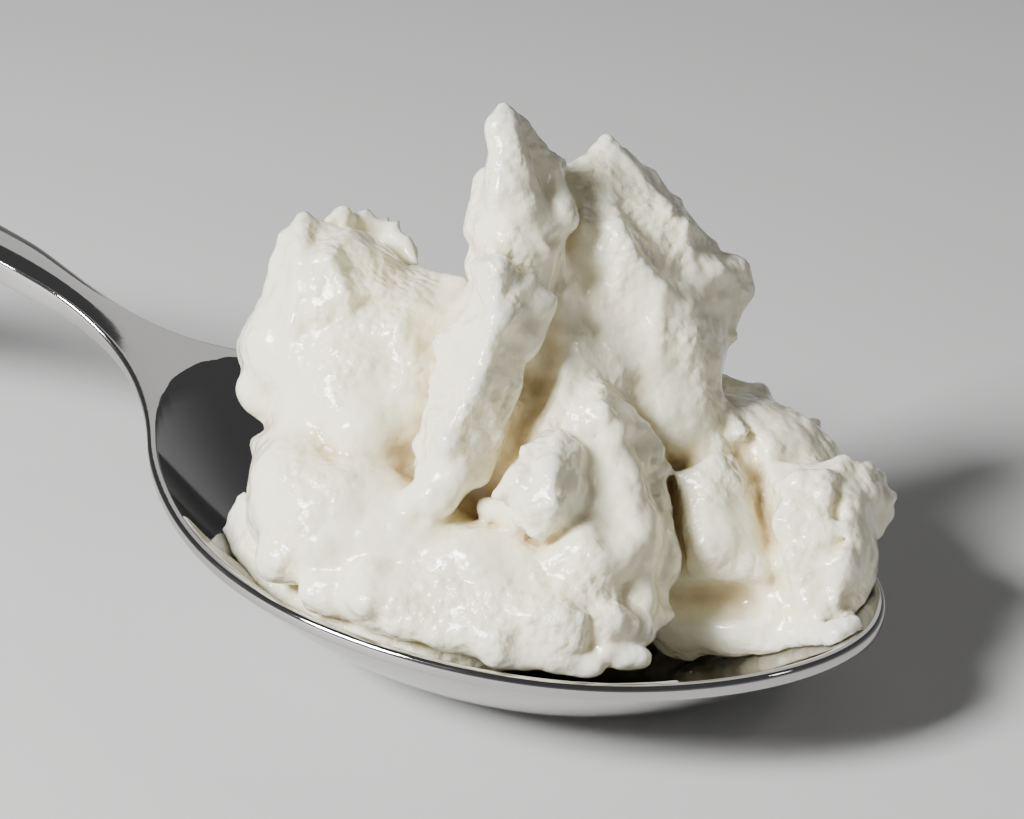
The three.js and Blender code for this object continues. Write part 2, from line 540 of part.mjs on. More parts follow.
// ---------------------------------------------------------------------------
// The quark
// ---------------------------------------------------------------------------
const ACROSS_AXIS = [Math.cos(HEAP_TURN), Math.sin(HEAP_TURN), 0];
const NEAR_AXIS = [
  Math.sin(HEAP_TURN) * Math.cos(HEAP_LEAN), -Math.cos(HEAP_TURN) * Math.cos(HEAP_LEAN), Math.sin(HEAP_LEAN),
];
const RISE_AXIS = [
  -Math.sin(HEAP_TURN) * Math.sin(HEAP_LEAN), Math.cos(HEAP_TURN) * Math.sin(HEAP_LEAN), Math.cos(HEAP_LEAN),
];
const toHeap = (p) => [dot(p, ACROSS_AXIS), dot(p, RISE_AXIS), dot(p, NEAR_AXIS)];

// Distance from a point to a lump's surface, negative inside.
function ballDistance(p, { a, r }) {
  const q = minus(p, a);
  const near = Math.hypot(q[0] / r[0], q[1] / r[1], q[2] / r[2]);
  const steep = Math.hypot(q[0] / r[0] ** 2, q[1] / r[1] ** 2, q[2] / r[2] ** 2) + 1e-6;
  return (near * (near - 1)) / steep;
}

function coneDistance(p, { a, b, ra, rb }) {
  const axis = minus(b, a);
  const length2 = dot(axis, axis);
  const taper = ra - rb;
  const side2 = length2 - taper * taper;
  const q = minus(p, a);
  const along = dot(q, axis);
  const past = along - length2;
  const off = q.map((value, i) => value * length2 - axis[i] * along);
  const off2 = dot(off, off);
  const along2 = along * along * length2;
  const past2 = past * past * length2;
  const lean = Math.sign(taper) * taper * taper * off2;
  if (Math.sign(past) * side2 * past2 > lean) return Math.sqrt(off2 + past2) / length2 - rb;
  if (Math.sign(along) * side2 * along2 < lean) return Math.sqrt(off2 + along2) / length2 - ra;
  return (Math.sqrt((off2 * side2) / length2) + along * taper) / length2 - ra;
}

function plateDistance(p, { ends, planes, half }) {
  const edges = ends.map((end, i) => minus(ends[(i + 1) % 3], end));
  const offsets = ends.map((end) => minus(p, end));
  const face = planes[0];
  const normal = cross(edges[0], edges[1]);
  const over = edges.every((edge, i) => dot(cross(normal, edge), offsets[i]) >= 0);
  const gaps = over ? [Math.abs(dot(face.out, p) - face.at)] : edges.map((edge, i) => {
    const along = clamp(dot(offsets[i], edge) / dot(edge, edge), 0, 1);
    return Math.hypot(...offsets[i].map((value, axis) => value - along * edge[axis]));
  });
  const filled = Math.max(...planes.map(({ out, at }) => dot(out, p) - at));
  return Math.min(filled, Math.min(...gaps) - half);
}

const DISTANCES = { ball: ballDistance, cone: coneDistance, plate: plateDistance };
const lumpDistance = (p, lump) => DISTANCES[lump.kind](p, lump);

// Smaller of two distances, rounded where they meet.
function blendMin(a, b, blend) {
  const h = clamp(0.5 + (0.5 * (b - a)) / blend, 0, 1);
  return lerp(b, a, h) - blend * h * (1 - h);
}
const blendMax = (a, b, blend) => -blendMin(-a, -b, blend);

// A repeatable 32-bit mix of a lattice point and a seed, with large odd multipliers.
const POINT_MIX = [374761393, 668265263, 1440662683];
const SEED_MIX = 974634777;
const STIR_MIX = [1274126177, 2246822519];
function scramble(i, j, k, seed) {
  let h = (Math.imul(i, POINT_MIX[0]) + Math.imul(j, POINT_MIX[1])) | 0;
  h = (h + Math.imul(k, POINT_MIX[2]) + Math.imul(seed, SEED_MIX)) >>> 0;
  h = Math.imul(h ^ (h >>> 13), STIR_MIX[0]) >>> 0;
  h = Math.imul(h ^ (h >>> 16), STIR_MIX[1]) >>> 0;
  return (h ^ (h >>> 15)) >>> 0;
}
const DRAW_BITS = 10; // each draw from the mix uses this many bits
const DRAW_TOP = 2 ** DRAW_BITS - 1;
const draw = (h, number) => ((h >>> (DRAW_BITS * number)) & DRAW_TOP) / DRAW_TOP; // 0 to 1
const WAVE_GAIN = 1.4; // brings the waves to about -1 to 1
const CORNERS = [0, 1, 2, 3, 4, 5, 6, 7].map((c) => [c & 1, (c >> 1) & 1, (c >> 2) & 1]);

// Smooth waves, about -1 to 1, one rise or fall per unit length.
function wave(p, seed) {
  const base = p.map(Math.floor);
  const f = p.map((value, i) => value - base[i]);
  const w = f.map((t) => t * t * t * (t * (t * 6 - 15) + 10));
  let sum = 0;
  for (const c of CORNERS) {
    const h = scramble(base[0] + c[0], base[1] + c[1], base[2] + c[2], seed);
    let tilt = 0;
    let weight = 1;
    for (let i = 0; i < 3; i += 1) {
      tilt += (2 * draw(h, i) - 1) * (f[i] - c[i]);
      weight *= c[i] ? w[i] : 1 - w[i];
    }
    sum += weight * tilt;
  }
  return WAVE_GAIN * sum;
}

// Squared distance to the nearest of the points scattered one to each unit cube.
function nearestGrain(p, seed) {
  const base = p.map(Math.floor);
  const f = p.map((value, i) => value - base[i]);
  let best = Infinity;
  for (let i = -1; i <= 1; i += 1) {
    for (let j = -1; j <= 1; j += 1) {
      for (let k = -1; k <= 1; k += 1) {
        const h = scramble(base[0] + i, base[1] + j, base[2] + k, seed);
        const dx = i + draw(h, 0) - f[0];
        const dy = j + draw(h, 1) - f[1];
        const dz = k + draw(h, 2) - f[2];
        best = Math.min(best, dx * dx + dy * dy + dz * dz);
      }
    }
  }
  return best;
}

function unevenness(p) {
  let rise = 0;
  for (const { size, height, seed } of WAVES) rise += height * wave(p.map((value) => value / size), seed);
  const grain = nearestGrain(p.map((value) => value / GRAINS.size), GRAINS.seed);
  return rise + GRAINS.height * (GRAINS.level - grain);
}

const SPOON_SOFTEN = 0.3; // rounding where the quark meets its clearance to the steel
const SLOPE_SHARE = 0.85; // turns a height above the sloping wall into a distance

// The heap as one field over space: negative inside the quark.
function quarkField(point) {
  let distance = Infinity;
  for (const lump of bowlFill) distance = addLump(distance, point, lump);
  const p = toHeap(point);
  for (const lump of heapLumps) distance = addLump(distance, p, lump);
  for (const lump of hollows) distance = blendMax(distance, -lumpDistance(p, lump), lump.blend);
  if (Math.abs(distance) < SKIN) distance -= unevenness(p);
  const clearance = topHeight(point[0], point[1]) + SPOON_GAP - point[2];
  return blendMax(distance, clearance * SLOPE_SHARE, SPOON_SOFTEN);
}
function addLump(distance, p, lump) {
  const { middle, reach, half, blend } = lump;
  if (middle && Math.hypot(...minus(p, middle)) > reach + half + blend + distance) return distance;
  const own = lumpDistance(p, lump);
  return distance === Infinity ? own : blendMin(distance, own, blend);
}

const LEAST_VALUE = 0.08; // keeps the surface off the lattice points, so that no face is a sliver
const FILL_VALUE = 0.1; // field value given to a lattice point that changes side

// Lattice of field values, with helpers to walk it.
function sampleGrid() {
  const size = GRID_LOW.map((low, i) => Math.ceil((GRID_HIGH[i] - low) / GRID_STEP) + 1);
  const index = (i, j, k) => (i * size[1] + j) * size[2] + k;
  const values = new Float64Array(size[0] * size[1] * size[2]);
  for (let i = 0; i < size[0]; i += 1) {
    for (let j = 0; j < size[1]; j += 1) {
      for (let k = 0; k < size[2]; k += 1) {
        const point = [i, j, k].map((step, axis) => GRID_LOW[axis] + step * GRID_STEP);
        const value = quarkField(point);
        values[index(i, j, k)] = (value < 0 ? -1 : 1) * Math.max(Math.abs(value), LEAST_VALUE);
      }
    }
  }
  return { size, index, values };
}

// Keeps the largest connected body, or fills whatever isn't connected to the outside.
function keepLargest({ size, index, values }, sign) {
  const label = new Int32Array(values.length);
  const groups = [0];
  const steps = [index(1, 0, 0), index(0, 1, 0), index(0, 0, 1)];
  for (let start = 0; start < values.length; start += 1) {
    if (label[start] || values[start] * sign <= 0) continue;
    groups.push(0);
    const stack = [start];
    label[start] = groups.length - 1;
    while (stack.length) {
      const at = stack.pop();
      groups[label[start]] += 1;
      const k = at % size[2];
      const j = Math.floor(at / size[2]) % size[1];
      const i = Math.floor(at / (size[1] * size[2]));
      [i, j, k].forEach((place, axis) => {
        for (const way of [-1, 1]) {
          if (place + way < 0 || place + way >= size[axis]) continue;
          const next = at + way * steps[axis];
          if (label[next] || values[next] * sign <= 0) continue;
          label[next] = label[start];
          stack.push(next);
        }
      });
    }
  }
  const largest = groups.indexOf(Math.max(...groups));
  for (let at = 0; at < values.length; at += 1) {
    if (label[at] && label[at] !== largest) values[at] = -sign * FILL_VALUE;
  }
}

// Fills lattice points until each cube has one patch of surface through it at most.
const CUBE_EDGES = [];
for (let a = 0; a < 8; a += 1) {
  for (const bit of [1, 2, 4]) if (!(a & bit)) CUBE_EDGES.push([a, a | bit]);
}
function patchCount(inside) {
  const group = [0, 1, 2, 3, 4, 5, 6, 7];
  const root = (c) => (group[c] === c ? c : root(group[c]));
  for (const [a, b] of CUBE_EDGES) if (inside[a] === inside[b]) group[root(a)] = root(b);
  return CORNERS.filter((_, c) => root(c) === c).length;
}
function makeSimple({ size, index, values }) {
  const offsets = CORNERS.map(([i, j, k]) => index(i, j, k));
  let changed = true;
  while (changed) {
    changed = false;
    for (let i = 0; i + 1 < size[0]; i += 1) {
      for (let j = 0; j + 1 < size[1]; j += 1) {
        for (let k = 0; k + 1 < size[2]; k += 1) {
          const at = index(i, j, k);
          const inside = offsets.map((offset) => values[at + offset] < 0);
          if (patchCount(inside) <= 2) continue;
          const outside = offsets.filter((offset) => values[at + offset] >= 0);
          outside.sort((a, b) => values[at + a] - values[at + b]);
          values[at + outside[0]] = -FILL_VALUE;
          changed = true;
        }
      }
    }
  }
}

// One point in each cube that the surface passes through, at the middle of its crossings.
function surfacePoints({ size, index, values }) {
  const offsets = CORNERS.map(([i, j, k]) => index(i, j, k));
  const number = new Map();
  const points = [];
  for (let i = 0; i + 1 < size[0]; i += 1) {
    for (let j = 0; j + 1 < size[1]; j += 1) {
      for (let k = 0; k + 1 < size[2]; k += 1) {
        const at = index(i, j, k);
        const sum = [0, 0, 0];
        let crossings = 0;
        for (const [a, b] of CUBE_EDGES) {
          const va = values[at + offsets[a]];
          const vb = values[at + offsets[b]];
          if (va < 0 === vb < 0) continue;
          const share = va / (va - vb);
          crossings += 1;
          for (let axis = 0; axis < 3; axis += 1) {
            sum[axis] += lerp(CORNERS[a][axis], CORNERS[b][axis], share);
          }
        }
        if (!crossings) continue;
        number.set(at, points.length);
        const place = [i, j, k].map((step, axis) => step + sum[axis] / crossings);
        points.push(place.map((steps, axis) => GRID_LOW[axis] + steps * GRID_STEP));
      }
    }
  }
  return { number, points };
}

// Four cubes meet on each lattice edge: where the field changes sign, their points are a face.
function quarkGeometry() {
  const grid = sampleGrid();
  keepLargest(grid, -1);
  keepLargest(grid, 1);
  makeSimple(grid);
  const { size, index, values } = grid;
  const { number, points } = surfacePoints(grid);
  const steps = [index(1, 0, 0), index(0, 1, 0), index(0, 0, 1)];
  const faces = [];
  for (let i = 1; i + 1 < size[0]; i += 1) {
    for (let j = 1; j + 1 < size[1]; j += 1) {
      for (let k = 1; k + 1 < size[2]; k += 1) {
        const at = index(i, j, k);
        for (let axis = 0; axis < 3; axis += 1) {
          const isInside = values[at] < 0;
          if (isInside === values[at + steps[axis]] < 0) continue;
          const u = steps[(axis + 1) % 3];
          const v = steps[(axis + 2) % 3];
          const quad = [at, at - u, at - u - v, at - v].map((cell) => number.get(cell));
          addQuad(points, faces, isInside ? quad : quad.reverse());
        }
      }
    }
  }
  return meshFrom(points, faces);
}

// Splits a four-sided face along its shorter diagonal.
function addQuad(points, faces, [a, b, c, d]) {
  const span = (p, q) => Math.hypot(...points[p].map((value, i) => value - points[q][i]));
  if (span(a, c) < span(b, d)) faces.push([a, b, c], [a, c, d]);
  else faces.push([a, b, d], [b, c, d]);
}

// ---------------------------------------------------------------------------
// The spoonful
// ---------------------------------------------------------------------------
const STEEL = new THREE.MeshStandardMaterial({ color: 0xb9bbbd, roughness: 0.08, metalness: 1 });
const CURD = new THREE.MeshStandardMaterial({ color: 0xf1eee4, roughness: 0.3, metalness: 0 });

const spoon = new THREE.Mesh(spoonGeometry(), STEEL);
spoon.name = 'spoon';
const quark = new THREE.Mesh(quarkGeometry(), CURD);
quark.name = 'quark_heap';

const group = new THREE.Group();
group.add(spoon, quark);
export default group;
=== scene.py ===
"""A spoonful of plain white quark: fine surfaces, finishes, floor, light and camera.

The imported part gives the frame: a polished tablespoon that rests on its bowl and on the end of
its handle, with a craggy heap of fresh cheese in it. Here the spoon gets a smooth, fine skin of
the same form, and the heap a fine skin with its curd, both in place of the plain solids. A film
of whey and its droplets are added. Forms are worked out in millimetres and written in metres.
"""

import logging
import math
from dataclasses import dataclass
from enum import Enum
from typing import Sequence, Union

import bpy
import numpy as np
from bpy.types import Material, Node, NodeSocket, NodeTree, Object
from mathutils import Matrix, Vector


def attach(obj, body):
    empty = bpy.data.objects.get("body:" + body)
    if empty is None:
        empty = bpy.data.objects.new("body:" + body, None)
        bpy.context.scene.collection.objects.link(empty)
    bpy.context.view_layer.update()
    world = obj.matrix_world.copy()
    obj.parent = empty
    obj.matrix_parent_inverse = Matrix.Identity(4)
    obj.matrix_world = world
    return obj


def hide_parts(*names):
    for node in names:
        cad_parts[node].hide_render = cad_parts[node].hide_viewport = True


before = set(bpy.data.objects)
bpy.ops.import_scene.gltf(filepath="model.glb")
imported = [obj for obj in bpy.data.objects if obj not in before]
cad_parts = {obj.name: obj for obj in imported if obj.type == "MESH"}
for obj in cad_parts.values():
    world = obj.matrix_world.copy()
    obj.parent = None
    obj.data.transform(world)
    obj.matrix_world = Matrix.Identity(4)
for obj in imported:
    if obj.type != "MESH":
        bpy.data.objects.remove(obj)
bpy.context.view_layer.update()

LOG = logging.getLogger("spoonful")
MM = 0.001
BODY = "root"

# The photograph's view, in degrees: turned from the spoon's side, and from the level.
VIEW_TURN = 29.4
VIEW_LEAN = 25.4

# Keeps a divisor off zero.
TINY = 1e-6

Array = np.ndarray
Number = Union["Term", float]
Pair = tuple[float, float]
Triple = tuple[float, float, float]


# ---------------------------------------------------------------------------
# Words used by more than one class
# ---------------------------------------------------------------------------
class Slot(Enum):
    """Material slots of the record."""

    STEEL = "polished_steel"
    QUARK = "quark"


def smooth_step(value: Array, low: float, high: float) -> Array:
    """Rises smoothly from 0 at low to 1 at high."""
    t = np.clip((value - low) / (high - low), 0.0, 1.0)
    return t * t * (3.0 - 2.0 * t)


def mix(a: Array, b: Array, share: Array) -> Array:
    """The value that lies the given share of the way from a to b."""
    return a + (b - a) * share


def blend_min(a: Array, b: Array, blend: float) -> Array:
    """Smaller of two distances, rounded where they meet.

    Args:
        a: first distance.
        b: second distance.
        blend: width of the rounding, in mm.

    Returns:
        The joined distance.
    """
    h = np.clip(0.5 + 0.5 * (b - a) / blend, 0.0, 1.0)
    return mix(b, a, h) - blend * h * (1.0 - h)


def view_axes() -> Array:
    """Rows: the photograph's directions across, upwards and nearer, in the part's frame."""
    turn, lean = math.radians(VIEW_TURN), math.radians(VIEW_LEAN)
    return np.array([
        [math.cos(turn), math.sin(turn), 0],
        [-math.sin(turn) * math.sin(lean), math.cos(turn) * math.sin(lean), math.cos(lean)],
        [math.sin(turn) * math.cos(lean), -math.cos(turn) * math.cos(lean), math.sin(lean)],
    ])


def grid_faces(rows: int, columns: int) -> list[list[int]]:
    """Four-sided faces of a grid of points, numbered row by row."""
    starts = [i * columns + j for i in range(rows - 1) for j in range(columns - 1)]
    return [[a, a + columns, a + columns + 1, a + 1] for a in starts]


def new_mesh(name: str, points: Array, faces: Union[Array, list]) -> Object:
    """Makes a mesh object at the origin.

    Args:
        name: name of the piece.
        points: corner places, in metres.
        faces: corner numbers of each face.

    Returns:
        The linked object.
    """
    mesh = bpy.data.meshes.new(name)
    face_list = faces.tolist() if isinstance(faces, np.ndarray) else faces
    mesh.from_pydata(np.asarray(points, float).tolist(), [], face_list)
    mesh.update()
    piece = bpy.data.objects.new(name, mesh)
    bpy.context.scene.collection.objects.link(piece)
    return piece


def add_values(piece: Object, name: str, values: Array) -> None:
    """Stores one number for each corner point of a mesh, for its trees to read."""
    layer = piece.data.attributes.new(name, "FLOAT", "POINT")
    layer.data.foreach_set("value", np.asarray(values, np.float32))


def shade_smooth(piece: Object) -> None:
    """Shades every face of a piece smoothly."""
    piece.data.polygons.foreach_set("use_smooth", [True] * len(piece.data.polygons))


# ---------------------------------------------------------------------------
# Node trees written as formulas
# ---------------------------------------------------------------------------
class Term:
    """A number worked out in a node tree, so that a formula in the tree reads as one."""

    def __init__(self, tree: NodeTree, socket: NodeSocket) -> None:
        """Keeps the tree and the socket that holds the number."""
        self.tree = tree
        self.socket = socket

    def maths(self, operation: str, *others: Number) -> "Term":
        """Adds a maths node.

        Args:
            operation: Blender's name of the operation.
            others: its second and third inputs, where it has them.

        Returns:
            The result.
        """
        node = self.tree.nodes.new("ShaderNodeMath")
        node.operation = operation
        for place, value in enumerate((self, *others)):
            plug(self.tree, node.inputs[place], value)
        return Term(self.tree, node.outputs[0])

    def __add__(self, other: Number) -> "Term":
        """Sum."""
        return self.maths("ADD", other)

    __radd__ = __add__

    def __sub__(self, other: Number) -> "Term":
        """Difference."""
        return self.maths("SUBTRACT", other)

    def __rsub__(self, other: float) -> "Term":
        """Difference from a plain number."""
        return self.maths("MULTIPLY_ADD", -1.0, other)

    def __mul__(self, other: Number) -> "Term":
        """Product."""
        return self.maths("MULTIPLY", other)

    def __truediv__(self, other: Number) -> "Term":
        """Quotient."""
        return self.maths("DIVIDE", other)

    def __pow__(self, other: Number) -> "Term":
        """Power."""
        return self.maths("POWER", other)

    def eased(self, low: Number, high: Number, to_low: Number = 0.0, to_high: Number = 1.0) -> "Term":
        """Rises smoothly from to_low, where the number is low, to to_high, where it is high."""
        node = self.tree.nodes.new("ShaderNodeMapRange")
        node.interpolation_type = "SMOOTHSTEP"
        for place, value in enumerate((self, low, high, to_low, to_high)):
            plug(self.tree, node.inputs[place], value)
        return Term(self.tree, node.outputs[0])


def plug(tree: NodeTree, socket: NodeSocket, value: object) -> None:
    """Links a value to a socket, or writes it there if it is a plain number or colour."""
    if isinstance(value, Term):
        tree.links.new(value.socket, socket)
    elif isinstance(value, NodeSocket):
        tree.links.new(value, socket)
    else:
        socket.default_value = value


def add_node(tree: NodeTree, kind: str, inputs: dict[str | int, object] | None = None,
             **settings: object) -> Node:
    """Adds a node.

    Args:
        tree: tree that it goes in.
        kind: Blender's name of the node.
        inputs: values or sockets for its inputs, by name or number.
        settings: properties of the node.

    Returns:
        The node.
    """
    node = tree.nodes.new(kind)
    for name, value in settings.items():
        setattr(node, name, value)
    fill_in(tree, node, inputs or {})
    return node


def fill_in(tree: NodeTree, node: Node, inputs: dict[str | int, object]) -> None:
    """Plugs a value or a socket into each named input of a node."""
    for name, value in inputs.items():
        plug(tree, node.inputs[name], value)


class ShapeTree:
    """A Geometry Nodes tree with named inputs, applied to an object and then baked."""

    def __init__(self, name: str, sizes: dict[str, float]) -> None:
        """Makes the tree with its geometry sockets and one number input for each size."""
        self.tree = bpy.data.node_groups.new(name, "GeometryNodeTree")
        face = self.tree.interface
        face.new_socket("Geometry", in_out="INPUT", socket_type="NodeSocketGeometry")
        for size in sizes:
            face.new_socket(size, in_out="INPUT", socket_type="NodeSocketFloat")
        face.new_socket("Geometry", in_out="OUTPUT", socket_type="NodeSocketGeometry")
        self.sizes = sizes
        self.source = self.tree.nodes.new("NodeGroupInput")
        self.result = self.tree.nodes.new("NodeGroupOutput")

    def size(self, name: str) -> Term:
        """One of the named inputs."""
        return Term(self.tree, self.source.outputs[name])

    def add(self, kind: str, inputs: dict[str | int, object], **settings: object) -> Node:
        """Adds a node to the tree."""
        return add_node(self.tree, kind, inputs, **settings)

    def stored(self, name: str) -> Term:
        """A number stored on the mesh."""
        node = self.add("GeometryNodeInputNamedAttribute", {"Name": name}, data_type="FLOAT")
        return Term(self.tree, node.outputs["Attribute"])

    def finish(self, geometry: NodeSocket, material: Material) -> None:
        """Ends the tree: shades smoothly, realizes instances and sets the material."""
        smooth = self.add("GeometryNodeSetShadeSmooth", {"Geometry": geometry})
        real = self.add("GeometryNodeRealizeInstances", {"Geometry": smooth.outputs[0]})
        dress = self.add("GeometryNodeSetMaterial",
                         {"Geometry": real.outputs[0], "Material": material})
        self.tree.links.new(dress.outputs[0], self.result.inputs[0])

    def bake(self, piece: Object) -> Object:
        """Runs the tree on an object and keeps the result as the object's plain mesh.

        Args:
            piece: object whose mesh the tree starts from.

        Returns:
            The same object, with the result as its mesh and no modifier.
        """
        modifier = piece.modifiers.new(self.tree.name, "NODES")
        modifier.node_group = self.tree
        for item in self.tree.interface.items_tree:
            if item.item_type == "SOCKET" and item.in_out == "INPUT" and item.name in self.sizes:
                modifier[item.identifier] = float(self.sizes[item.name])
        bpy.context.view_layer.update()
        evaluated = piece.evaluated_get(bpy.context.evaluated_depsgraph_get())
        mesh = bpy.data.meshes.new_from_object(evaluated)
        piece.modifiers.remove(modifier)
        piece.data = mesh
        mesh.name = piece.name
        return piece


# ---------------------------------------------------------------------------
# The spoon
# ---------------------------------------------------------------------------
@dataclass(frozen=True)
class SpoonForm:
    """Sizes of the tablespoon, in mm, and the rules that give its surface.

    The origin is the lowest point of the bowl, +X runs to the tip and +Z up.
    """

    half_length: float = 34.0
    half_width: float = 22.1
    depth: float = 10.6
    flatten: float = 0.35
    oval_power: float = 0.53
    egg: float = 0.059
    lip: float = 0.8
    rim_wall: float = 1.35
    floor_wall: float = 1.9
    shoulder_x: float = -30.1
    neck_x: float = -54.3
    neck_half_width: float = 2.4
    neck_lip: float = 0.2
    neck_wall: float = 2.4
    handle_wide_x: float = -150.0
    handle_half_width: float = 9.5
    handle_end_x: float = -165.0
    handle_wall: float = 1.9
    handle_crown: float = 0.45
    shoulder_pull: float = 1.14
    neck_pull: float = 0.68
    shoulder_steps: int = 400
    small_step: float = 0.001
    wall_ramp: float = 2.0
    side_view: tuple[Pair, ...] = (
        (-165, 1.9), (-156, 2.9), (-144, 7.6), (-125, 17), (-100, 26.4), (-76, 30.6), (-58, 28.6),
        (-46, 24.4), (-38, 20.7), (-31, 17.8), (-24, 15.3), (-14, 13.2), (0, 11.9), (17, 11.1),
        (34, 11.6),
    )

    def rim_height(self, x: Array) -> Array:
        """Height of the top edge at x: a natural cubic through the side view's stations."""
        at, height = np.array(self.side_view, float).T
        step, rise = np.diff(at), np.diff(height)
        system = np.eye(len(at))
        bend = np.zeros(len(at))
        for i in range(1, len(at) - 1):
            system[i, i - 1:i + 2] = step[i - 1], 2 * (step[i - 1] + step[i]), step[i]
            bend[i] = 6 * (rise[i] / step[i] - rise[i - 1] / step[i - 1])
        curve = np.linalg.solve(system, bend)
        inside = np.clip(x, at[0], at[-1])
        i = np.clip(np.searchsorted(at, inside) - 1, 0, len(step) - 1)
        a = (at[i + 1] - inside) / step[i]
        b = 1.0 - a
        sag = ((a ** 3 - a) * curve[i] + (b ** 3 - b) * curve[i + 1]) * step[i] ** 2 / 6
        return a * height[i] + b * height[i + 1] + sag

    def oval_squared(self, x: Array) -> Array:
        """Half width of the oval hollow at x, squared; negative beyond its ends."""
        left = 1 - (x / self.half_length) ** 2
        width = self.half_width * (1 - self.egg * x / self.half_length)
        return np.sign(left) * np.abs(left) ** (2 * self.oval_power) * width ** 2

    def top_height(self, x: Array, y: Array) -> Array:
        """Top of the spoon: the hollow inside the oval, the level of the rim outside it."""
        inside = np.maximum(self.oval_squared(x) - y * y, 0) / self.half_width ** 2
        return self.rim_height(x) - self.depth * inside * (1 + self.flatten * (1 - inside))

    def half_outline(self, x: Array) -> Array:
        """Half width of the whole outline, without the lip, from the tip to the handle's end."""
        oval = np.sqrt(np.maximum(self.oval_squared(x), 0))
        start = math.sqrt(float(self.oval_squared(np.array(self.shoulder_x))))
        ahead = math.sqrt(float(self.oval_squared(np.array(self.shoulder_x + self.small_step))))
        run = self.neck_x - self.shoulder_x
        pulls = run * self.shoulder_pull, run * self.neck_pull
        slope = (ahead - start) / self.small_step
        turns = np.linspace(0, 1, self.shoulder_steps)
        shoulder_x = hermite(turns, self.shoulder_x, pulls[0], self.neck_x, pulls[1])
        shoulder_y = hermite(turns, start, slope * pulls[0], self.neck_half_width, 0.0)
        shoulder = np.interp(-x, -shoulder_x, shoulder_y)
        handle = mix(self.handle_half_width, self.neck_half_width,
                     smooth_step(x, self.handle_wide_x, self.neck_x))
        end = np.clip((self.handle_wide_x - x) / (self.handle_wide_x - self.handle_end_x), 0, 1)
        tail = self.handle_half_width * np.sqrt(np.maximum(1 - end * end, 0))
        places = [x >= self.shoulder_x, x >= self.neck_x, x >= self.handle_wide_x]
        return np.select(places, [oval, shoulder, handle], tail)

    def plain_wall(self, x: Array) -> Array:
        """Thickness of the steel outside the hollow."""
        handle = mix(self.handle_wall, self.neck_wall, smooth_step(x, self.handle_wide_x, self.neck_x))
        return mix(handle, self.rim_wall, smooth_step(x, self.neck_x, -self.half_length))


def hermite(t: Array, start: float, start_pull: float, end: float, end_pull: float) -> Array:
    """A cubic from start to end with the given slopes at its ends."""
    return ((2 * t ** 3 - 3 * t ** 2 + 1) * start + (t ** 3 - 2 * t ** 2 + t) * start_pull
            + (3 * t ** 2 - 2 * t ** 3) * end + (t ** 3 - t ** 2) * end_pull)


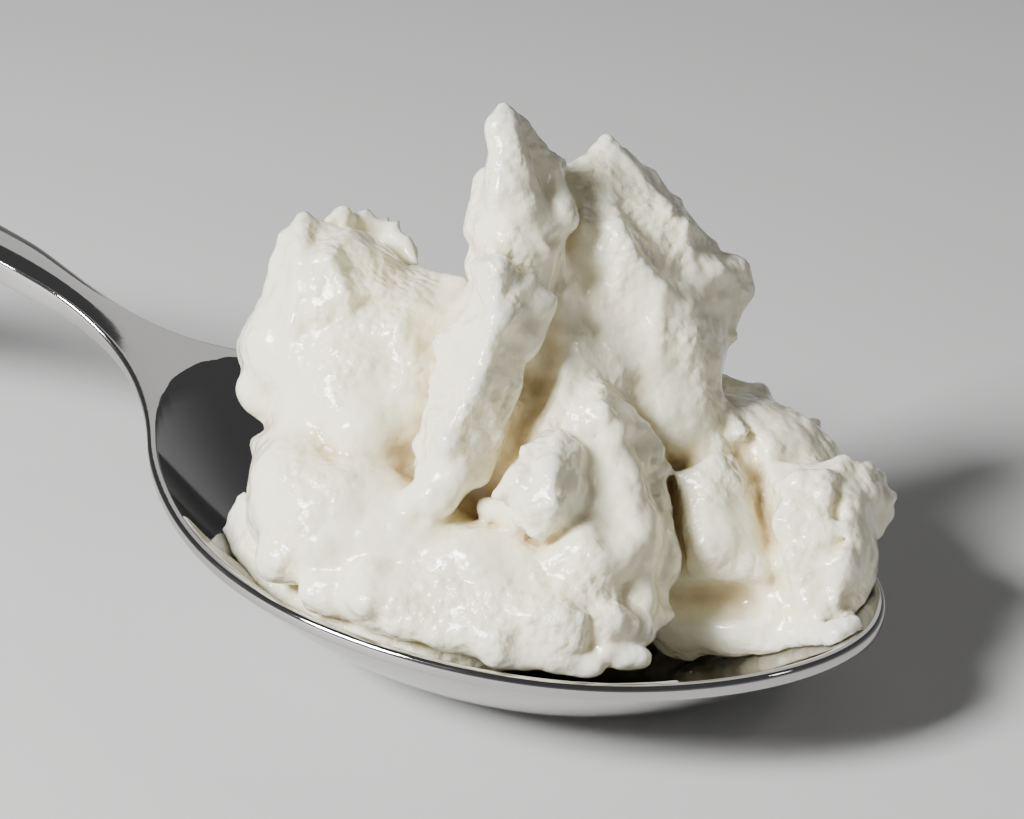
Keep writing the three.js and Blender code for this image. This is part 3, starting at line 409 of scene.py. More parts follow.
@dataclass
class Spoon:
    """The tablespoon's fine skin: rings of points whose places a node tree works out."""

    form: SpoonForm
    bowl_stations: int = 96
    shoulder_stations: int = 30
    handle_stations: int = 60
    end_stations: int = 24
    strips: int = 52
    edge_turns: int = 5
    rim_crowding: float = 0.6
    lip_start: float = 0.12
    flat_lip: float = 0.5
    edge_round: float = 0.36
    merge: float = 0.02

    def stations(self) -> tuple[Array, Array, Array]:
        """Places along the spoon, from the tip back.

        Returns:
            x, half width and the outward direction of the outline (along, across) there.
        """
        form = self.form
        turn = math.acos(form.shoulder_x / form.half_length)
        bowl = form.half_length * np.cos(np.linspace(0, turn, self.bowl_stations))
        shoulder = np.linspace(form.shoulder_x, form.neck_x, self.shoulder_stations + 1)[1:]
        handle = np.linspace(form.neck_x, form.handle_wide_x, self.handle_stations + 1)[1:]
        end_turn = np.linspace(0, math.pi / 2, self.end_stations + 1)[1:]
        end = mix(form.handle_wide_x, form.handle_end_x, np.sin(end_turn))
        x = np.concatenate([bowl, shoulder, handle, end])
        half = form.half_outline(x)
        along = np.gradient(x)
        across = np.gradient(half)
        size = np.hypot(along, across)
        outward = np.stack([across / size, -along / size], 1)
        outward[0] = 1, 0
        outward[-1] = -1, 0
        return x, half, outward

    def section(self) -> Array:
        """One ring as rows of share across (-1 to 1), side, out over the lip and down the wall."""
        even = np.linspace(-1, 1, self.strips + 1)
        across = mix(even, np.sin(even * math.pi / 2), self.rim_crowding)
        top = [(share, np.sign(share), 0.0, 0.0) for share in across]
        turns = np.linspace(0, math.pi / 2, self.edge_turns)
        upper = [(mix(self.flat_lip, 1, math.sin(a)), self.edge_round * (1 - math.cos(a)))
                 for a in turns]
        edge = [(self.lip_start, 0.0)] + upper + [(out, 1 - down) for out, down in reversed(upper)]
        right = [(1.0, 1.0, out, down) for out, down in edge]
        left = [(-1.0, -1.0, out, down) for out, down in reversed(edge)]
        under = [(share, side, 0.0, 1.0) for share, side, _, _ in reversed(top)]
        return np.array(top + right + under + left)

    def rings(self) -> Object:
        """Rings of points with the numbers that the tree needs, joined by faces."""
        x, half, outward = self.stations()
        section = self.section()
        count = len(section)
        size = len(x) * count
        piece_faces = []
        for ring in range(len(x) - 1):
            a = ring * count + np.arange(count)
            b = ring * count + (np.arange(count) + 1) % count
            piece_faces.append(np.stack([a, b, b + count, a + count], 1))
        piece = new_mesh("polished_spoon", np.zeros((size, 3)), np.concatenate(piece_faces))
        lip = mix(self.form.neck_lip, self.form.lip,
                  smooth_step(x, self.form.neck_x, self.form.shoulder_x))
        out = section[None, :, 2] * lip[:, None]
        place_x = x[:, None] + out * outward[:, :1]
        place_y = section[None, :, 0] * half[:, None] + section[None, :, 1] * out * outward[:, 1:]
        wall = np.broadcast_to(self.form.plain_wall(x)[:, None], place_x.shape)
        crown = 1 - smooth_step(x, self.form.neck_x, -self.form.half_length)
        arch = crown[:, None] * (1 - section[None, :, 0] ** 2)
        down = np.broadcast_to(section[None, :, 3], place_x.shape)
        for name, values in (("along", place_x), ("across", place_y), ("plain_wall", wall),
                             ("arch", arch), ("down", down), ("rim", self.form.rim_height(place_x))):
            add_values(piece, name, values.ravel())
        return piece

    def surface_tree(self, material: Material) -> ShapeTree:
        """Tree that sets each ring point by the bowl's rule and closes the ends."""
        form = self.form
        tree = ShapeTree("spoon_surface", {
            "Half length": form.half_length, "Half width": form.half_width, "Depth": form.depth,
            "Flatten": form.flatten, "Oval power": form.oval_power, "Egg": form.egg,
            "Rim wall": form.rim_wall, "Floor wall": form.floor_wall, "Crown": form.handle_crown,
        })
        x, y = tree.stored("along"), tree.stored("across")
        reach = x / tree.size("Half length")
        left = 1.0 - reach * reach
        width = tree.size("Half width") * (1.0 - tree.size("Egg") * reach)
        oval = left.maths("MAXIMUM", 0.0) ** (tree.size("Oval power") * 2.0) * width * width
        half_width = tree.size("Half width")
        inside = (oval - y * y).maths("MAXIMUM", 0.0) / (half_width * half_width)
        sink = tree.size("Depth") * inside * (1.0 + tree.size("Flatten") * (1.0 - inside))
        top = tree.stored("rim") - sink
        ramp = (inside * form.wall_ramp).maths("MINIMUM", 1.0)
        hollow_wall = tree.size("Rim wall") + (tree.size("Floor wall") - tree.size("Rim wall")) * ramp
        in_hollow = inside.maths("GREATER_THAN", 0.0)
        plain = tree.stored("plain_wall")
        wall = plain + (hollow_wall - plain) * in_hollow
        down = tree.stored("down")
        level = top + tree.stored("arch") * tree.size("Crown") * (1.0 - down) - wall * down
        height = level.maths("MAXIMUM", 0.0)
        place = tree.add("ShaderNodeCombineXYZ", {"X": x, "Y": y, "Z": height})
        moved = tree.add("GeometryNodeSetPosition",
                         {"Geometry": tree.source.outputs[0], "Position": place.outputs[0]})
        closed = tree.add("GeometryNodeMergeByDistance",
                          {"Geometry": moved.outputs[0], "Distance": self.merge})
        metres = tree.add("GeometryNodeTransform",
                          {"Geometry": closed.outputs[0], "Scale": (MM, MM, MM)})
        tree.finish(metres.outputs[0], material)
        return tree

    def build(self, material: Material) -> Object:
        """Makes the spoon and lets it stand for its plain solid."""
        piece = self.surface_tree(material).bake(self.rings())
        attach(piece, BODY)
        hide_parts("spoon")
        return piece


# ---------------------------------------------------------------------------
# The quark: lumps of the heap
# ---------------------------------------------------------------------------
@dataclass(frozen=True)
class Ball:
    """A lump shaped as an ellipsoid, in mm."""

    blend: float
    centre: Triple
    radii: Triple

    def distance(self, points: Array) -> Array:
        """Distance from each point to the lump's surface, negative inside."""
        q = points - np.array(self.centre, np.float32)
        radii = np.array(self.radii, np.float32)
        near = np.sqrt(((q / radii) ** 2).sum(-1))
        steep = np.sqrt(((q / radii ** 2) ** 2).sum(-1)) + TINY
        return near * (near - 1) / steep

    def box(self) -> tuple[Array, Array]:
        """Lowest and highest corner of the lump."""
        centre = np.array(self.centre)
        reach = max(self.radii)
        return centre - reach, centre + reach


@dataclass(frozen=True)
class Cone:
    """A lump shaped as a cone with round ends: centre and radius of each end, in mm."""

    blend: float
    start: Triple
    start_radius: float
    end: Triple
    end_radius: float

    def distance(self, points: Array) -> Array:
        """Distance from each point to the lump's surface, negative inside."""
        start = np.array(self.start, np.float32)
        axis = np.array(self.end, np.float32) - start
        length2 = float(axis @ axis)
        taper = self.start_radius - self.end_radius
        side2 = length2 - taper * taper
        q = points - start
        along = q @ axis
        past = along - length2
        off = q * length2 - along[..., None] * axis
        off2 = (off * off).sum(-1)
        lean = np.sign(taper) * taper * taper * off2
        at_end = np.sqrt(off2 + past * past * length2) / length2 - self.end_radius
        at_start = np.sqrt(off2 + along * along * length2) / length2 - self.start_radius
        between = (np.sqrt(off2 * side2 / length2) + along * taper) / length2 - self.start_radius
        beyond_end = np.sign(past) * side2 * past * past * length2 > lean
        before_start = np.sign(along) * side2 * along * along * length2 < lean
        return np.where(beyond_end, at_end, np.where(before_start, at_start, between))

    def box(self) -> tuple[Array, Array]:
        """Lowest and highest corner of the lump."""
        ends = np.array([self.start, self.end])
        reach = np.array([[self.start_radius], [self.end_radius]])
        return (ends - reach).min(0), (ends + reach).max(0)


@dataclass(frozen=True)
class Plate:
    """A flat plate with three corners and the space behind it filled to a depth, in mm."""

    blend: float
    half: float
    depth: float
    corners: tuple[Triple, ...]
    inset: float = 0.2

    def filled(self, points: Array, corners: Array, normal: Array) -> Array:
        """Distance from each point to the five planes round the space behind the plate."""
        out = normal / np.sqrt(normal @ normal) * (1 if normal[2] > 0 else -1)
        ahead = (points - corners[0]) @ out
        result = np.maximum(ahead, -ahead - self.depth * out[2])
        for corner, following, third in zip(corners, np.roll(corners, -1, 0), np.roll(corners, -2, 0)):
            edge = following - corner
            side = np.array([edge[1], -edge[0], 0], np.float32) / np.hypot(edge[0], edge[1])
            away = -side if side @ (third - corner) > 0 else side
            result = np.maximum(result, (points - corner) @ away)
        return result

    def distance(self, points: Array) -> Array:
        """Distance from each point to the plate's surface, negative inside."""
        corners = np.array(self.corners, np.float32)
        edges = np.roll(corners, -1, axis=0) - corners
        normal = np.cross(edges[0], edges[1])
        over = np.ones(points.shape[:-1], bool)
        nearest = np.full(points.shape[:-1], np.inf, np.float32)
        for corner, edge in zip(corners, edges):
            offset = points - corner
            over &= offset @ np.cross(normal, edge) >= 0
            along = np.clip(offset @ edge / (edge @ edge), 0, 1)
            away = offset - along[..., None] * edge
            nearest = np.minimum(nearest, (away * away).sum(-1))
        height = np.abs((points - corners[0]) @ normal) / np.sqrt(normal @ normal)
        flat = np.where(over, height, np.sqrt(nearest)) - self.half
        return np.minimum(flat, self.filled(points, corners, normal) + self.inset)

    def box(self) -> tuple[Array, Array]:
        """Lowest and highest corner of the plate and the space behind it."""
        corners = np.array(self.corners)
        back = np.array([0, 0, self.depth])
        return corners.min(0) - self.half - back, corners.max(0) + self.half


def shell(blend: float, half: float, depth: float, corners: dict[str, Triple],
          plates: str) -> tuple[Plate, ...]:
    """Makes the plates of one shell.

    Args:
        blend: how softly the plates join the heap, in mm.
        half: half their thickness, in mm.
        depth: how far the space behind each plate is filled, in mm.
        corners: named corner points.
        plates: the three corner names of each plate, with a space between plates.

    Returns:
        The plates.
    """
    return tuple(Plate(blend, half, depth, tuple(corners[name] for name in names))
                 for names in plates.split())


Lump = Union[Ball, Cone, Plate]

# The heap is laid out on three axes turned to face its broad front: across, rise and near.
# The plain solids are made of the same lumps, hollows and filling, but of no small ones.

# Core mass behind everything that shows.
CORE_PILE = (
    Ball(2, (-12, 19, 6), (9, 13, 9)),
    Ball(2, (1.5, 18.5, 7), (12, 14, 11)),
    Ball(2, (19, 14, 2), (12, 8.5, 9)),
    Ball(2, (1.5, 16.5, -5), (15, 9, 8)),
    Ball(1.5, (-8, 23, -5), (5, 5, 5)),
    Ball(1.5, (9.5, 23, -5), (6, 5.5, 5)),
)

# Upper left boulder with its hanging bulge and, behind it, a thin fan.
LEFT_BOULDER = (
    Ball(1.5, (-14.5, 30.5, 4.5), (6.4, 6.4, 7.5)),
    Ball(1.5, (-17.5, 26, 4), (6, 5.6, 7)),
    Ball(1.5, (-9.5, 27.5, 5.5), (5.6, 5.2, 7)),
    Cone(0.5, (-22.5, 21.5, 3.5), 0.7, (-20.5, 23, 5), 3),
    Cone(0.6, (-22.5, 26.5, 3.5), 0.9, (-20, 28, 5), 3),
    Cone(1.2, (-4, 31.5, 6.5), 1, (-7, 23.5, 8), 4.4),
    Cone(1.2, (-12.5, 22, 10.5), 2.6, (-12, 19, 13.5), 3.1),
    Cone(0.8, (-9, 28, 11.5), 1.5, (-8.5, 23, 12), 2),
    Ball(1.2, (-8, 21.5, 10), (3, 5.5, 4.4)),
    Cone(0.5, (-14.5, 36, 1.5), 1.3, (-9, 35, 2), 1.3),
)

# Crest and front of the left boulder.
LEFT_CREST = shell(0.6, 0.5, 4, {
    "A": (-17.5, 37.5, 8), "B": (-19, 36, 8), "C": (-20, 33.5, 7.5), "D": (-22, 29, 5),
    "E": (-15.5, 36.5, 7), "F": (-13.5, 36, 7.5), "G": (-13, 34.5, 8.5), "H": (-11.5, 34, 8),
    "I": (-17.5, 33.5, 11), "J": (-15, 33.5, 12), "K": (-13.5, 30.5, 12.5), "L": (-18, 28.5, 11),
    "M": (-21, 26, 7), "N": (-13.5, 26, 11), "O": (-16.5, 24, 10), "P": (-9.5, 33.5, 6),
    "Q": (-7.5, 33, 5.5), "R": (-3.5, 32, 6), "S": (-10.5, 31, 10.5), "T": (-5.5, 30, 8.5),
}, """
    ABI BCI AIE IJE EJF FJG JKG IKJ ILK CLI CDL DML LNK LON MOL GHS GSK HPS PQS QTS QRT
""")

# Fan with a toothed edge.
LEFT_FAN = shell(0.3, 0.4, 1.6, {
    "A": (-16, 37, 5), "B": (-14.5, 38.5, 3.5), "C": (-13.5, 38, 2), "D": (-12.5, 38.5, 2),
    "E": (-11.5, 37.5, 2), "F": (-10, 37.5, 2), "G": (-9, 36, 2.5), "H": (-8, 34, 3.5),
    "I": (-13, 35.5, 1), "J": (-10, 34.5, 1),
}, """
    ABI BCI CDI DEI EJI EFJ FGJ GHJ
""")

# Lower left lobe, running along the near rim of the bowl.
LEFT_FOOT = (
    Cone(0.5, (-22, 18, 6), 0.6, (-19, 17, 9), 2.8),
    Ball(1.2, (-17.5, 13.5, 12), (4.5, 5.8, 5)),
    Ball(1.2, (-13.5, 11.5, 14.5), (7, 5.6, 5)),
    Cone(0.6, (-21.5, 13, 9), 0.9, (-20, 11.5, 11), 2),
    Cone(0.6, (-20.5, 15.5, 9), 0.8, (-18.5, 15, 11), 2),
    Ball(1, (-18, 8.5, 15.5), (3, 2.4, 3)),
    Cone(0.9, (-16, 11, 17.5), 1.1, (-15.5, 10, 18), 1.6),
    Cone(0.9, (-13, 14, 17.5), 1.1, (-13, 13, 18), 1.3),
    Cone(1, (-15, 6, 18), 2, (-8.5, 4.5, 20), 2.2),
    Ball(1.5, (-8.5, 9.5, 16), (7, 5, 4.6)),
    Ball(1.2, (-2, 8, 19), (5, 3.4, 3.8)),
    Cone(1.2, (-11, 6, 20), 2.2, (4.5, 4.5, 22), 2.6),
    Cone(0.8, (-8.5, 4, 21.5), 1.5, (-0.5, 2, 23.5), 1.5),
    Cone(0.7, (-11, 7.5, 20.5), 1.3, (-11, 5.5, 21.5), 1.5),
    Cone(0.9, (-4.5, 3, 22), 1.8, (5, 3, 23.5), 1.7),
    Cone(0.7, (-0.5, 1.5, 23.5), 1.3, (7, 0.5, 23.5), 1),
    Cone(1.5, (1, 8, 18.5), 2.6, (6, 6.5, 20), 3.2),
)

# Flap of thin curd at the left end of the foot.
LEFT_FLAP = shell(0.6, 0.6, 2.5, {
    "A": (-25.5, 9, 3), "B": (-23, 13, 5), "C": (-21, 8.5, 9), "D": (-17.5, 5.5, 14),
}, """
    ABC ACD
""")

# Tallest peak.
TALL_PEAK = (
    Ball(1.2, (1, 31.5, 10), (4.2, 6.4, 5.5)),
    Cone(0.8, (0.5, 43, 15), 1.3, (1, 35.5, 14.5), 3.6),
    Cone(0.4, (0, 46, 16.5), 0.3, (0, 44.5, 16.5), 1.3),
    Cone(0.7, (0, 44.5, 16.5), 1.3, (0.5, 39.5, 16.5), 2.3),
    Cone(0.8, (0, 38.5, 17), 1.8, (1.5, 37.5, 17), 1.7),
    Cone(0.6, (-1.5, 41, 13), 0.6, (-2, 36, 13.5), 1.7),
    Cone(0.5, (-2.5, 37.5, 12.5), 0.5, (-2, 33.5, 13.5), 1.5),
    Cone(0.7, (4, 41.5, 13.5), 0.7, (4.5, 37, 14.5), 1.6),
    Cone(0.7, (-0.5, 34, 17.5), 1.2, (3, 34.5, 16.5), 1.3),
    Cone(1, (1, 35.5, 14.5), 3.6, (1.5, 30.5, 12), 4.6),
    Cone(1.2, (5.5, 34.5, 10), 2.4, (4, 26, 12), 3.2),
)

# Faces of the tallest peak.
PEAK_FACES = shell(0.5, 0.5, 4, {
    "A": (0, 46, 16.5), "B": (1.5, 45, 15), "C": (3, 43, 14), "D": (5, 42, 12), "E": (2, 40, 15.5),
    "F": (3.5, 37, 14.5), "G": (-1, 44, 15.5), "H": (-0.5, 41.5, 15), "I": (-2, 40.5, 13),
    "J": (-2.5, 37.5, 12), "K": (-2.5, 34, 12.5), "L": (-0.5, 38.5, 16),
}, """
    ABE BCE CDF CFE AGE GHL HIL IJL JKL EFL
""")

# Big right boulder.
RIGHT_BOULDER = (
    Ball(1.2, (12, 34, 2.5), (5.3, 6.3, 5.2)),
    Ball(1.2, (15.5, 29.5, 2.5), (5, 5.8, 5.2)),
    Ball(1.5, (12, 26, 5.5), (7.2, 7.5, 7.5)),
    Ball(1.2, (15.5, 25, 5), (2.9, 4, 5)),
    Ball(1.5, (12.5, 20.5, 7), (6.5, 5, 5.6)),
    Cone(1, (7, 35.5, 9.5), 2.3, (7.5, 24.5, 10), 4.2),
    Cone(0.8, (3.5, 40, 9), 2.4, (8.5, 38, 5), 3.4),
)

# Sloping crest of the right boulder with its two ridges.
RIGHT_CREST = shell(0.5, 0.5, 5, {
    "A": (5.5, 42, 7), "B": (8, 43.5, 6), "C": (9, 44.5, 5.5), "D": (10.5, 43.5, 4.5),
    "E": (13, 42, 3.5), "F": (15, 39.5, 3), "G": (16.5, 37.5, 3), "H": (18.5, 35.5, 3.5),
    "I": (20.5, 33.5, 3.5), "J": (21.5, 31.5, 3), "K": (20, 27.5, 4.5), "L": (14, 38, 8.5),
    "M": (15.5, 37, 8.5), "N": (16, 34.5, 8.5), "O": (18.5, 33, 7), "P": (9, 39, 9.5),
    "Q": (12.5, 34.5, 9.5), "R": (16.5, 31.5, 8.5), "S": (9.5, 36.5, 12.5), "T": (10.5, 34.5, 13),
    "U": (13, 31.5, 12), "V": (15.5, 29.5, 10.5), "W": (7, 36.5, 12), "X": (6.5, 30.5, 12),
    "Y": (8.5, 28, 11.5), "Z": (13, 26.5, 12.5), "a": (7, 40.5, 8.5),
}, """
    ABa BPa BCP CLP CDL DEL EFL FGM FML GHM HNM HIO HON LQP LNQ NRQ NOR PQS SQT TQU UQR URV OIJ ROJ
    VRJ VJK PSW aPW WST WTY WYX TUY UZY UVZ VKZ
""")

# Slab that leans across the front of the two boulders.
LEANING_SLAB = (
    Cone(0.8, (0.5, 29, 15.5), 2.6, (-3.5, 18.5, 17), 2.6),
    Cone(0.6, (-4, 19.5, 18.5), 2.4, (-4.5, 15.5, 19.5), 2),
    Cone(0.7, (-7.5, 13.5, 19), 1.2, (-5.5, 14, 19.5), 1.9),
    Cone(0.4, (-2, 33, 18.5), 0.6, (-0.5, 32.5, 19.5), 1.2),
)

# The two long faces of the slab.
SLAB_FACES = shell(0.9, 0.6, 3, {
    "A": (-2, 32.5, 18.5), "B": (-2.5, 29, 17.5), "C": (-5, 26.5, 16), "D": (-5.5, 23.5, 16.5),
    "E": (-5.5, 21, 17.5), "F": (-7, 18, 17), "G": (-6.5, 16, 18.5), "H": (-0.5, 32.5, 20),
    "I": (2, 31.5, 18.5), "J": (3.5, 30, 17.5), "K": (3, 26.5, 17), "L": (1.5, 23, 17.5),
    "M": (-0.5, 18.5, 18.5), "N": (-2, 15.5, 19), "O": (-0.5, 28.5, 21), "P": (-2, 23.5, 21),
    "Q": (-4.5, 18.5, 21),
}, """
    ABO AOH HOI IOJ JOK OPK KPL PML BCO CPO CDP DEP EQP EFQ FGQ PQM QNM QGN
""")

# Cone in front, with the angular knob on its left flank.
FRONT_CONE = (
    Cone(0.8, (7.5, 21, 15.5), 2.3, (8.5, 10, 18), 4.6),
    Cone(0.6, (12, 16, 13.5), 1.3, (12, 8.5, 16), 2.8),
    Ball(1, (7, 9, 20), (4, 3.2, 3.8)),
    Cone(0.7, (5.5, 5, 22), 1.6, (8, 4, 22.5), 1.7),
    Cone(0.7, (8, 4, 22.5), 1.7, (11, 3, 21), 1.3),
    Cone(0.4, (8, 1.5, 23), 1, (11, 1, 22.5), 1),
    Cone(0.8, (4, 17.5, 18.5), 2, (4, 13.5, 20), 3),
    Cone(0.4, (-0.5, 14, 21.5), 0.5, (1.5, 15, 21.5), 1.7),
    Cone(0.5, (2.5, 11.5, 22.5), 0.8, (3.5, 13.5, 22), 2.2),
    Cone(0.6, (-1.5, 13, 18.5), 0.7, (1.5, 12.5, 19.5), 1.7),
)

# Faces of the cone, with its ragged right edge.
CONE_FACES = shell(0.5, 0.5, 4, {
    "A": (5, 22, 15.5), "B": (6.5, 23, 15), "C": (8.5, 22.5, 15), "D": (10.5, 21, 14.5),
    "E": (11.5, 19.5, 14.5), "F": (13, 17.5, 13.5), "G": (13.5, 16, 13.5), "H": (12.5, 15, 14),
    "I": (13.5, 13, 14), "J": (13, 9.5, 14.5), "K": (12, 8, 16), "L": (13, 5.5, 16.5),
    "M": (13.5, 4, 17), "N": (11.5, 2.5, 19.5), "O": (4.5, 20.5, 17), "P": (8, 21, 18.5),
    "Q": (9.5, 19.5, 18), "R": (8.5, 17, 19.5), "S": (8.5, 14.5, 20.5), "T": (9.5, 11, 20.5),
    "U": (9.5, 8.5, 21), "V": (6.5, 16, 19.5), "W": (8.5, 5, 22.5),
}, """
    ABP BCP CQP CDQ DEQ ERQ EFR FGR GHR HSR HIS ITS IJT JUT JKU APO OPV PQR PRV VRS KLU LMW ULW MNW
""")

# Faces of the knob.
KNOB_FACES = shell(0.4, 0.5, 3, {
    "A": (2.5, 18, 19.5), "B": (4.5, 19, 20), "C": (6, 18, 20), "D": (7, 16, 20),
    "E": (6.5, 13.5, 20.5), "F": (5.5, 12, 21), "G": (3, 11, 22.5), "H": (1, 12, 22),
    "I": (1, 13.5, 22), "J": (1, 15.5, 21), "K": (1.5, 17.5, 20), "L": (3.5, 15.5, 23.5),
    "M": (4, 13.5, 24),
}, """
    ABL BCL CDL DEM DML EFM FGM GHM HIM IJL ILM JKL KAL
""")

# Column right of the cone, and the thin pool at its foot.
RIGHT_COLUMN = (
    Cone(0.8, (17.5, 15, 9.5), 2.5, (17.5, 9.5, 11), 4.1),
    Cone(0.8, (20, 12.5, 9), 2.1, (20.5, 8, 10.5), 3.1),
    Cone(0.6, (15.5, 15, 10), 1, (16.5, 14, 10.5), 1.8),
    Cone(0.8, (16.5, 8, 12), 2.6, (20.5, 8, 11.5), 2.6),
    Cone(0.8, (15.5, 2.5, 6), 1.8, (22.5, 3, 7), 1.8),
    Cone(1, (23, 9, 7), 2.6, (24, 5, 11), 2.6),
    Cone(1, (14, 1.5, 10), 1, (19.5, 2, 13), 0.9),
    Cone(1, (19.5, 2, 12), 0.9, (28.5, 3.5, 17), 1),
)

# Craggy lump that overhangs the tip of the spoon, and the low lump behind it.
TIP_LUMP = (
    Ball(1, (27, 8, 11.5), (4.8, 6.2, 6.2)),
    Ball(1, (27, 12.5, 9.5), (4.8, 3.8, 5.2)),
    Cone(0.5, (34, 6.5, 6), 0.5, (31.5, 6, 9), 2),
    Cone(0.5, (20, 23, -3), 1, (23, 22, -3), 1),
    Ball(0.8, (22.5, 18.5, 0.5), (4.6, 2.2, 4.6)),
    Ball(1, (17.5, 19, 3), (3.6, 3.6, 4.6)),
    Cone(0.8, (19, 18, 6), 2.2, (21, 16.5, 7), 2.2),
    Cone(0.6, (22, 20.5, 3), 1, (22.5, 17, 7), 2),
    Cone(0.6, (25, 20, 2), 1, (25, 17, 6), 2),
)

# Faces of the tip lump.
TIP_FACES = shell(0.4, 0.5, 5, {
    "A": (22.5, 16, 10), "B": (25, 16, 11), "C": (26, 15.5, 11), "D": (28, 16, 10.5),
    "E": (29, 16.5, 10), "F": (30.5, 15.5, 9.5), "G": (31.5, 16, 8.5), "H": (32.5, 15, 8),
    "I": (33, 13.5, 8), "J": (33, 12, 8.5), "K": (32, 10.5, 10), "L": (22.5, 12, 9.5),
    "M": (22.5, 8, 11), "N": (23.5, 5, 12.5), "O": (24, 13.5, 14.5), "P": (27, 14, 15),
    "Q": (29, 13, 13.5), "R": (24.5, 9.5, 16.5), "S": (27, 9.5, 15.5), "T": (29.5, 10.5, 12.5),
    "U": (30.5, 10.5, 13), "V": (28, 9, 17.5), "W": (30, 7.5, 14), "X": (30, 5, 15),
    "Y": (28.5, 3, 16), "Z": (26, 3, 16.5), "a": (24.5, 6, 16.5), "b": (27.5, 5.5, 17.5),
}, """
    ABO BCO CPO CDP DEP EQP EFQ FHQ FGH HIQ IJQ JTQ JKT QTS PQS OPS OSR AOL LOR LRM MRa MaN NaZ TUV
    UWV SVR RVa Vba VWb WXb XYb YZb Zab
""")

# Faces of the low lump behind.
REAR_FACES = shell(0.4, 0.5, 4, {
    "A": (20, 23, -4), "B": (23.5, 22.5, -4), "C": (25, 21, -3), "D": (26.5, 19.5, -2),
    "E": (28, 19.5, -1.5), "F": (28, 18.5, 0), "G": (27, 16, 4), "H": (20, 21, 4), "I": (23, 20, 4.5),
    "J": (25.5, 18.5, 5.5), "K": (20, 19, 8.5), "L": (23, 18.5, 8.5), "M": (25.5, 17, 7.5),
}, """
    ABH BIH BCI CDJ CJI DEJ EFJ FGJ HIK ILK IJL JML JGM
""")

# Clefts pressed into the heap: down the right of the slab, then at the crests and the tip lump.
HOLLOWS = (
    Cone(0.6, (5, 33.5, 15), 0.5, (4.5, 28.5, 16), 1),
    Cone(0.6, (4.5, 28.5, 16), 1, (3, 23.5, 17), 1.6),
    Cone(0.6, (3, 23.5, 17), 1.6, (0.5, 16.5, 19.5), 1.4),
    Cone(0.5, (6, 41.5, 9.5), 0.8, (7, 40, 11), 1.5),
    Cone(0.4, (4, 35, 17), 0.4, (5.5, 35.5, 15), 0.5),
    Cone(0.4, (-12.5, 24, 15), 0.4, (-10.5, 21.5, 16), 0.6),
    Cone(0.4, (21.5, 16, 10), 1, (22, 13, 13), 0.5),
    Cone(0.4, (29, 10.5, 15.5), 0.3, (27, 9.5, 17.5), 0.4),
    Cone(0.4, (22.5, 6.5, 15), 0.6, (23, 5, 15.5), 0.7),
    Cone(0.5, (6, 6, 24.5), 0.5, (6.5, 5.5, 24.5), 0.5),
)

# Quark that fills the bowl, in the spoon's own axes.
BOWL_FILL = (
    Ball(2, (-5, -3, 8.5), (17, 17.5, 6)),
    Ball(2, (17, 8.5, 8), (15.5, 11, 5.5)),
    Ball(2, (-4, 8, 9), (19, 12, 6)),
)

# Every lump of the heap, in the order in which they are joined.
HEAP_LUMPS = (
    *CORE_PILE, *LEFT_BOULDER, *LEFT_CREST, *LEFT_FAN, *LEFT_FOOT, *LEFT_FLAP, *TALL_PEAK,
    *PEAK_FACES, *RIGHT_BOULDER, *RIGHT_CREST, *LEANING_SLAB, *SLAB_FACES, *FRONT_CONE,
    *CONE_FACES, *KNOB_FACES, *RIGHT_COLUMN, *TIP_LUMP, *TIP_FACES, *REAR_FACES,
)

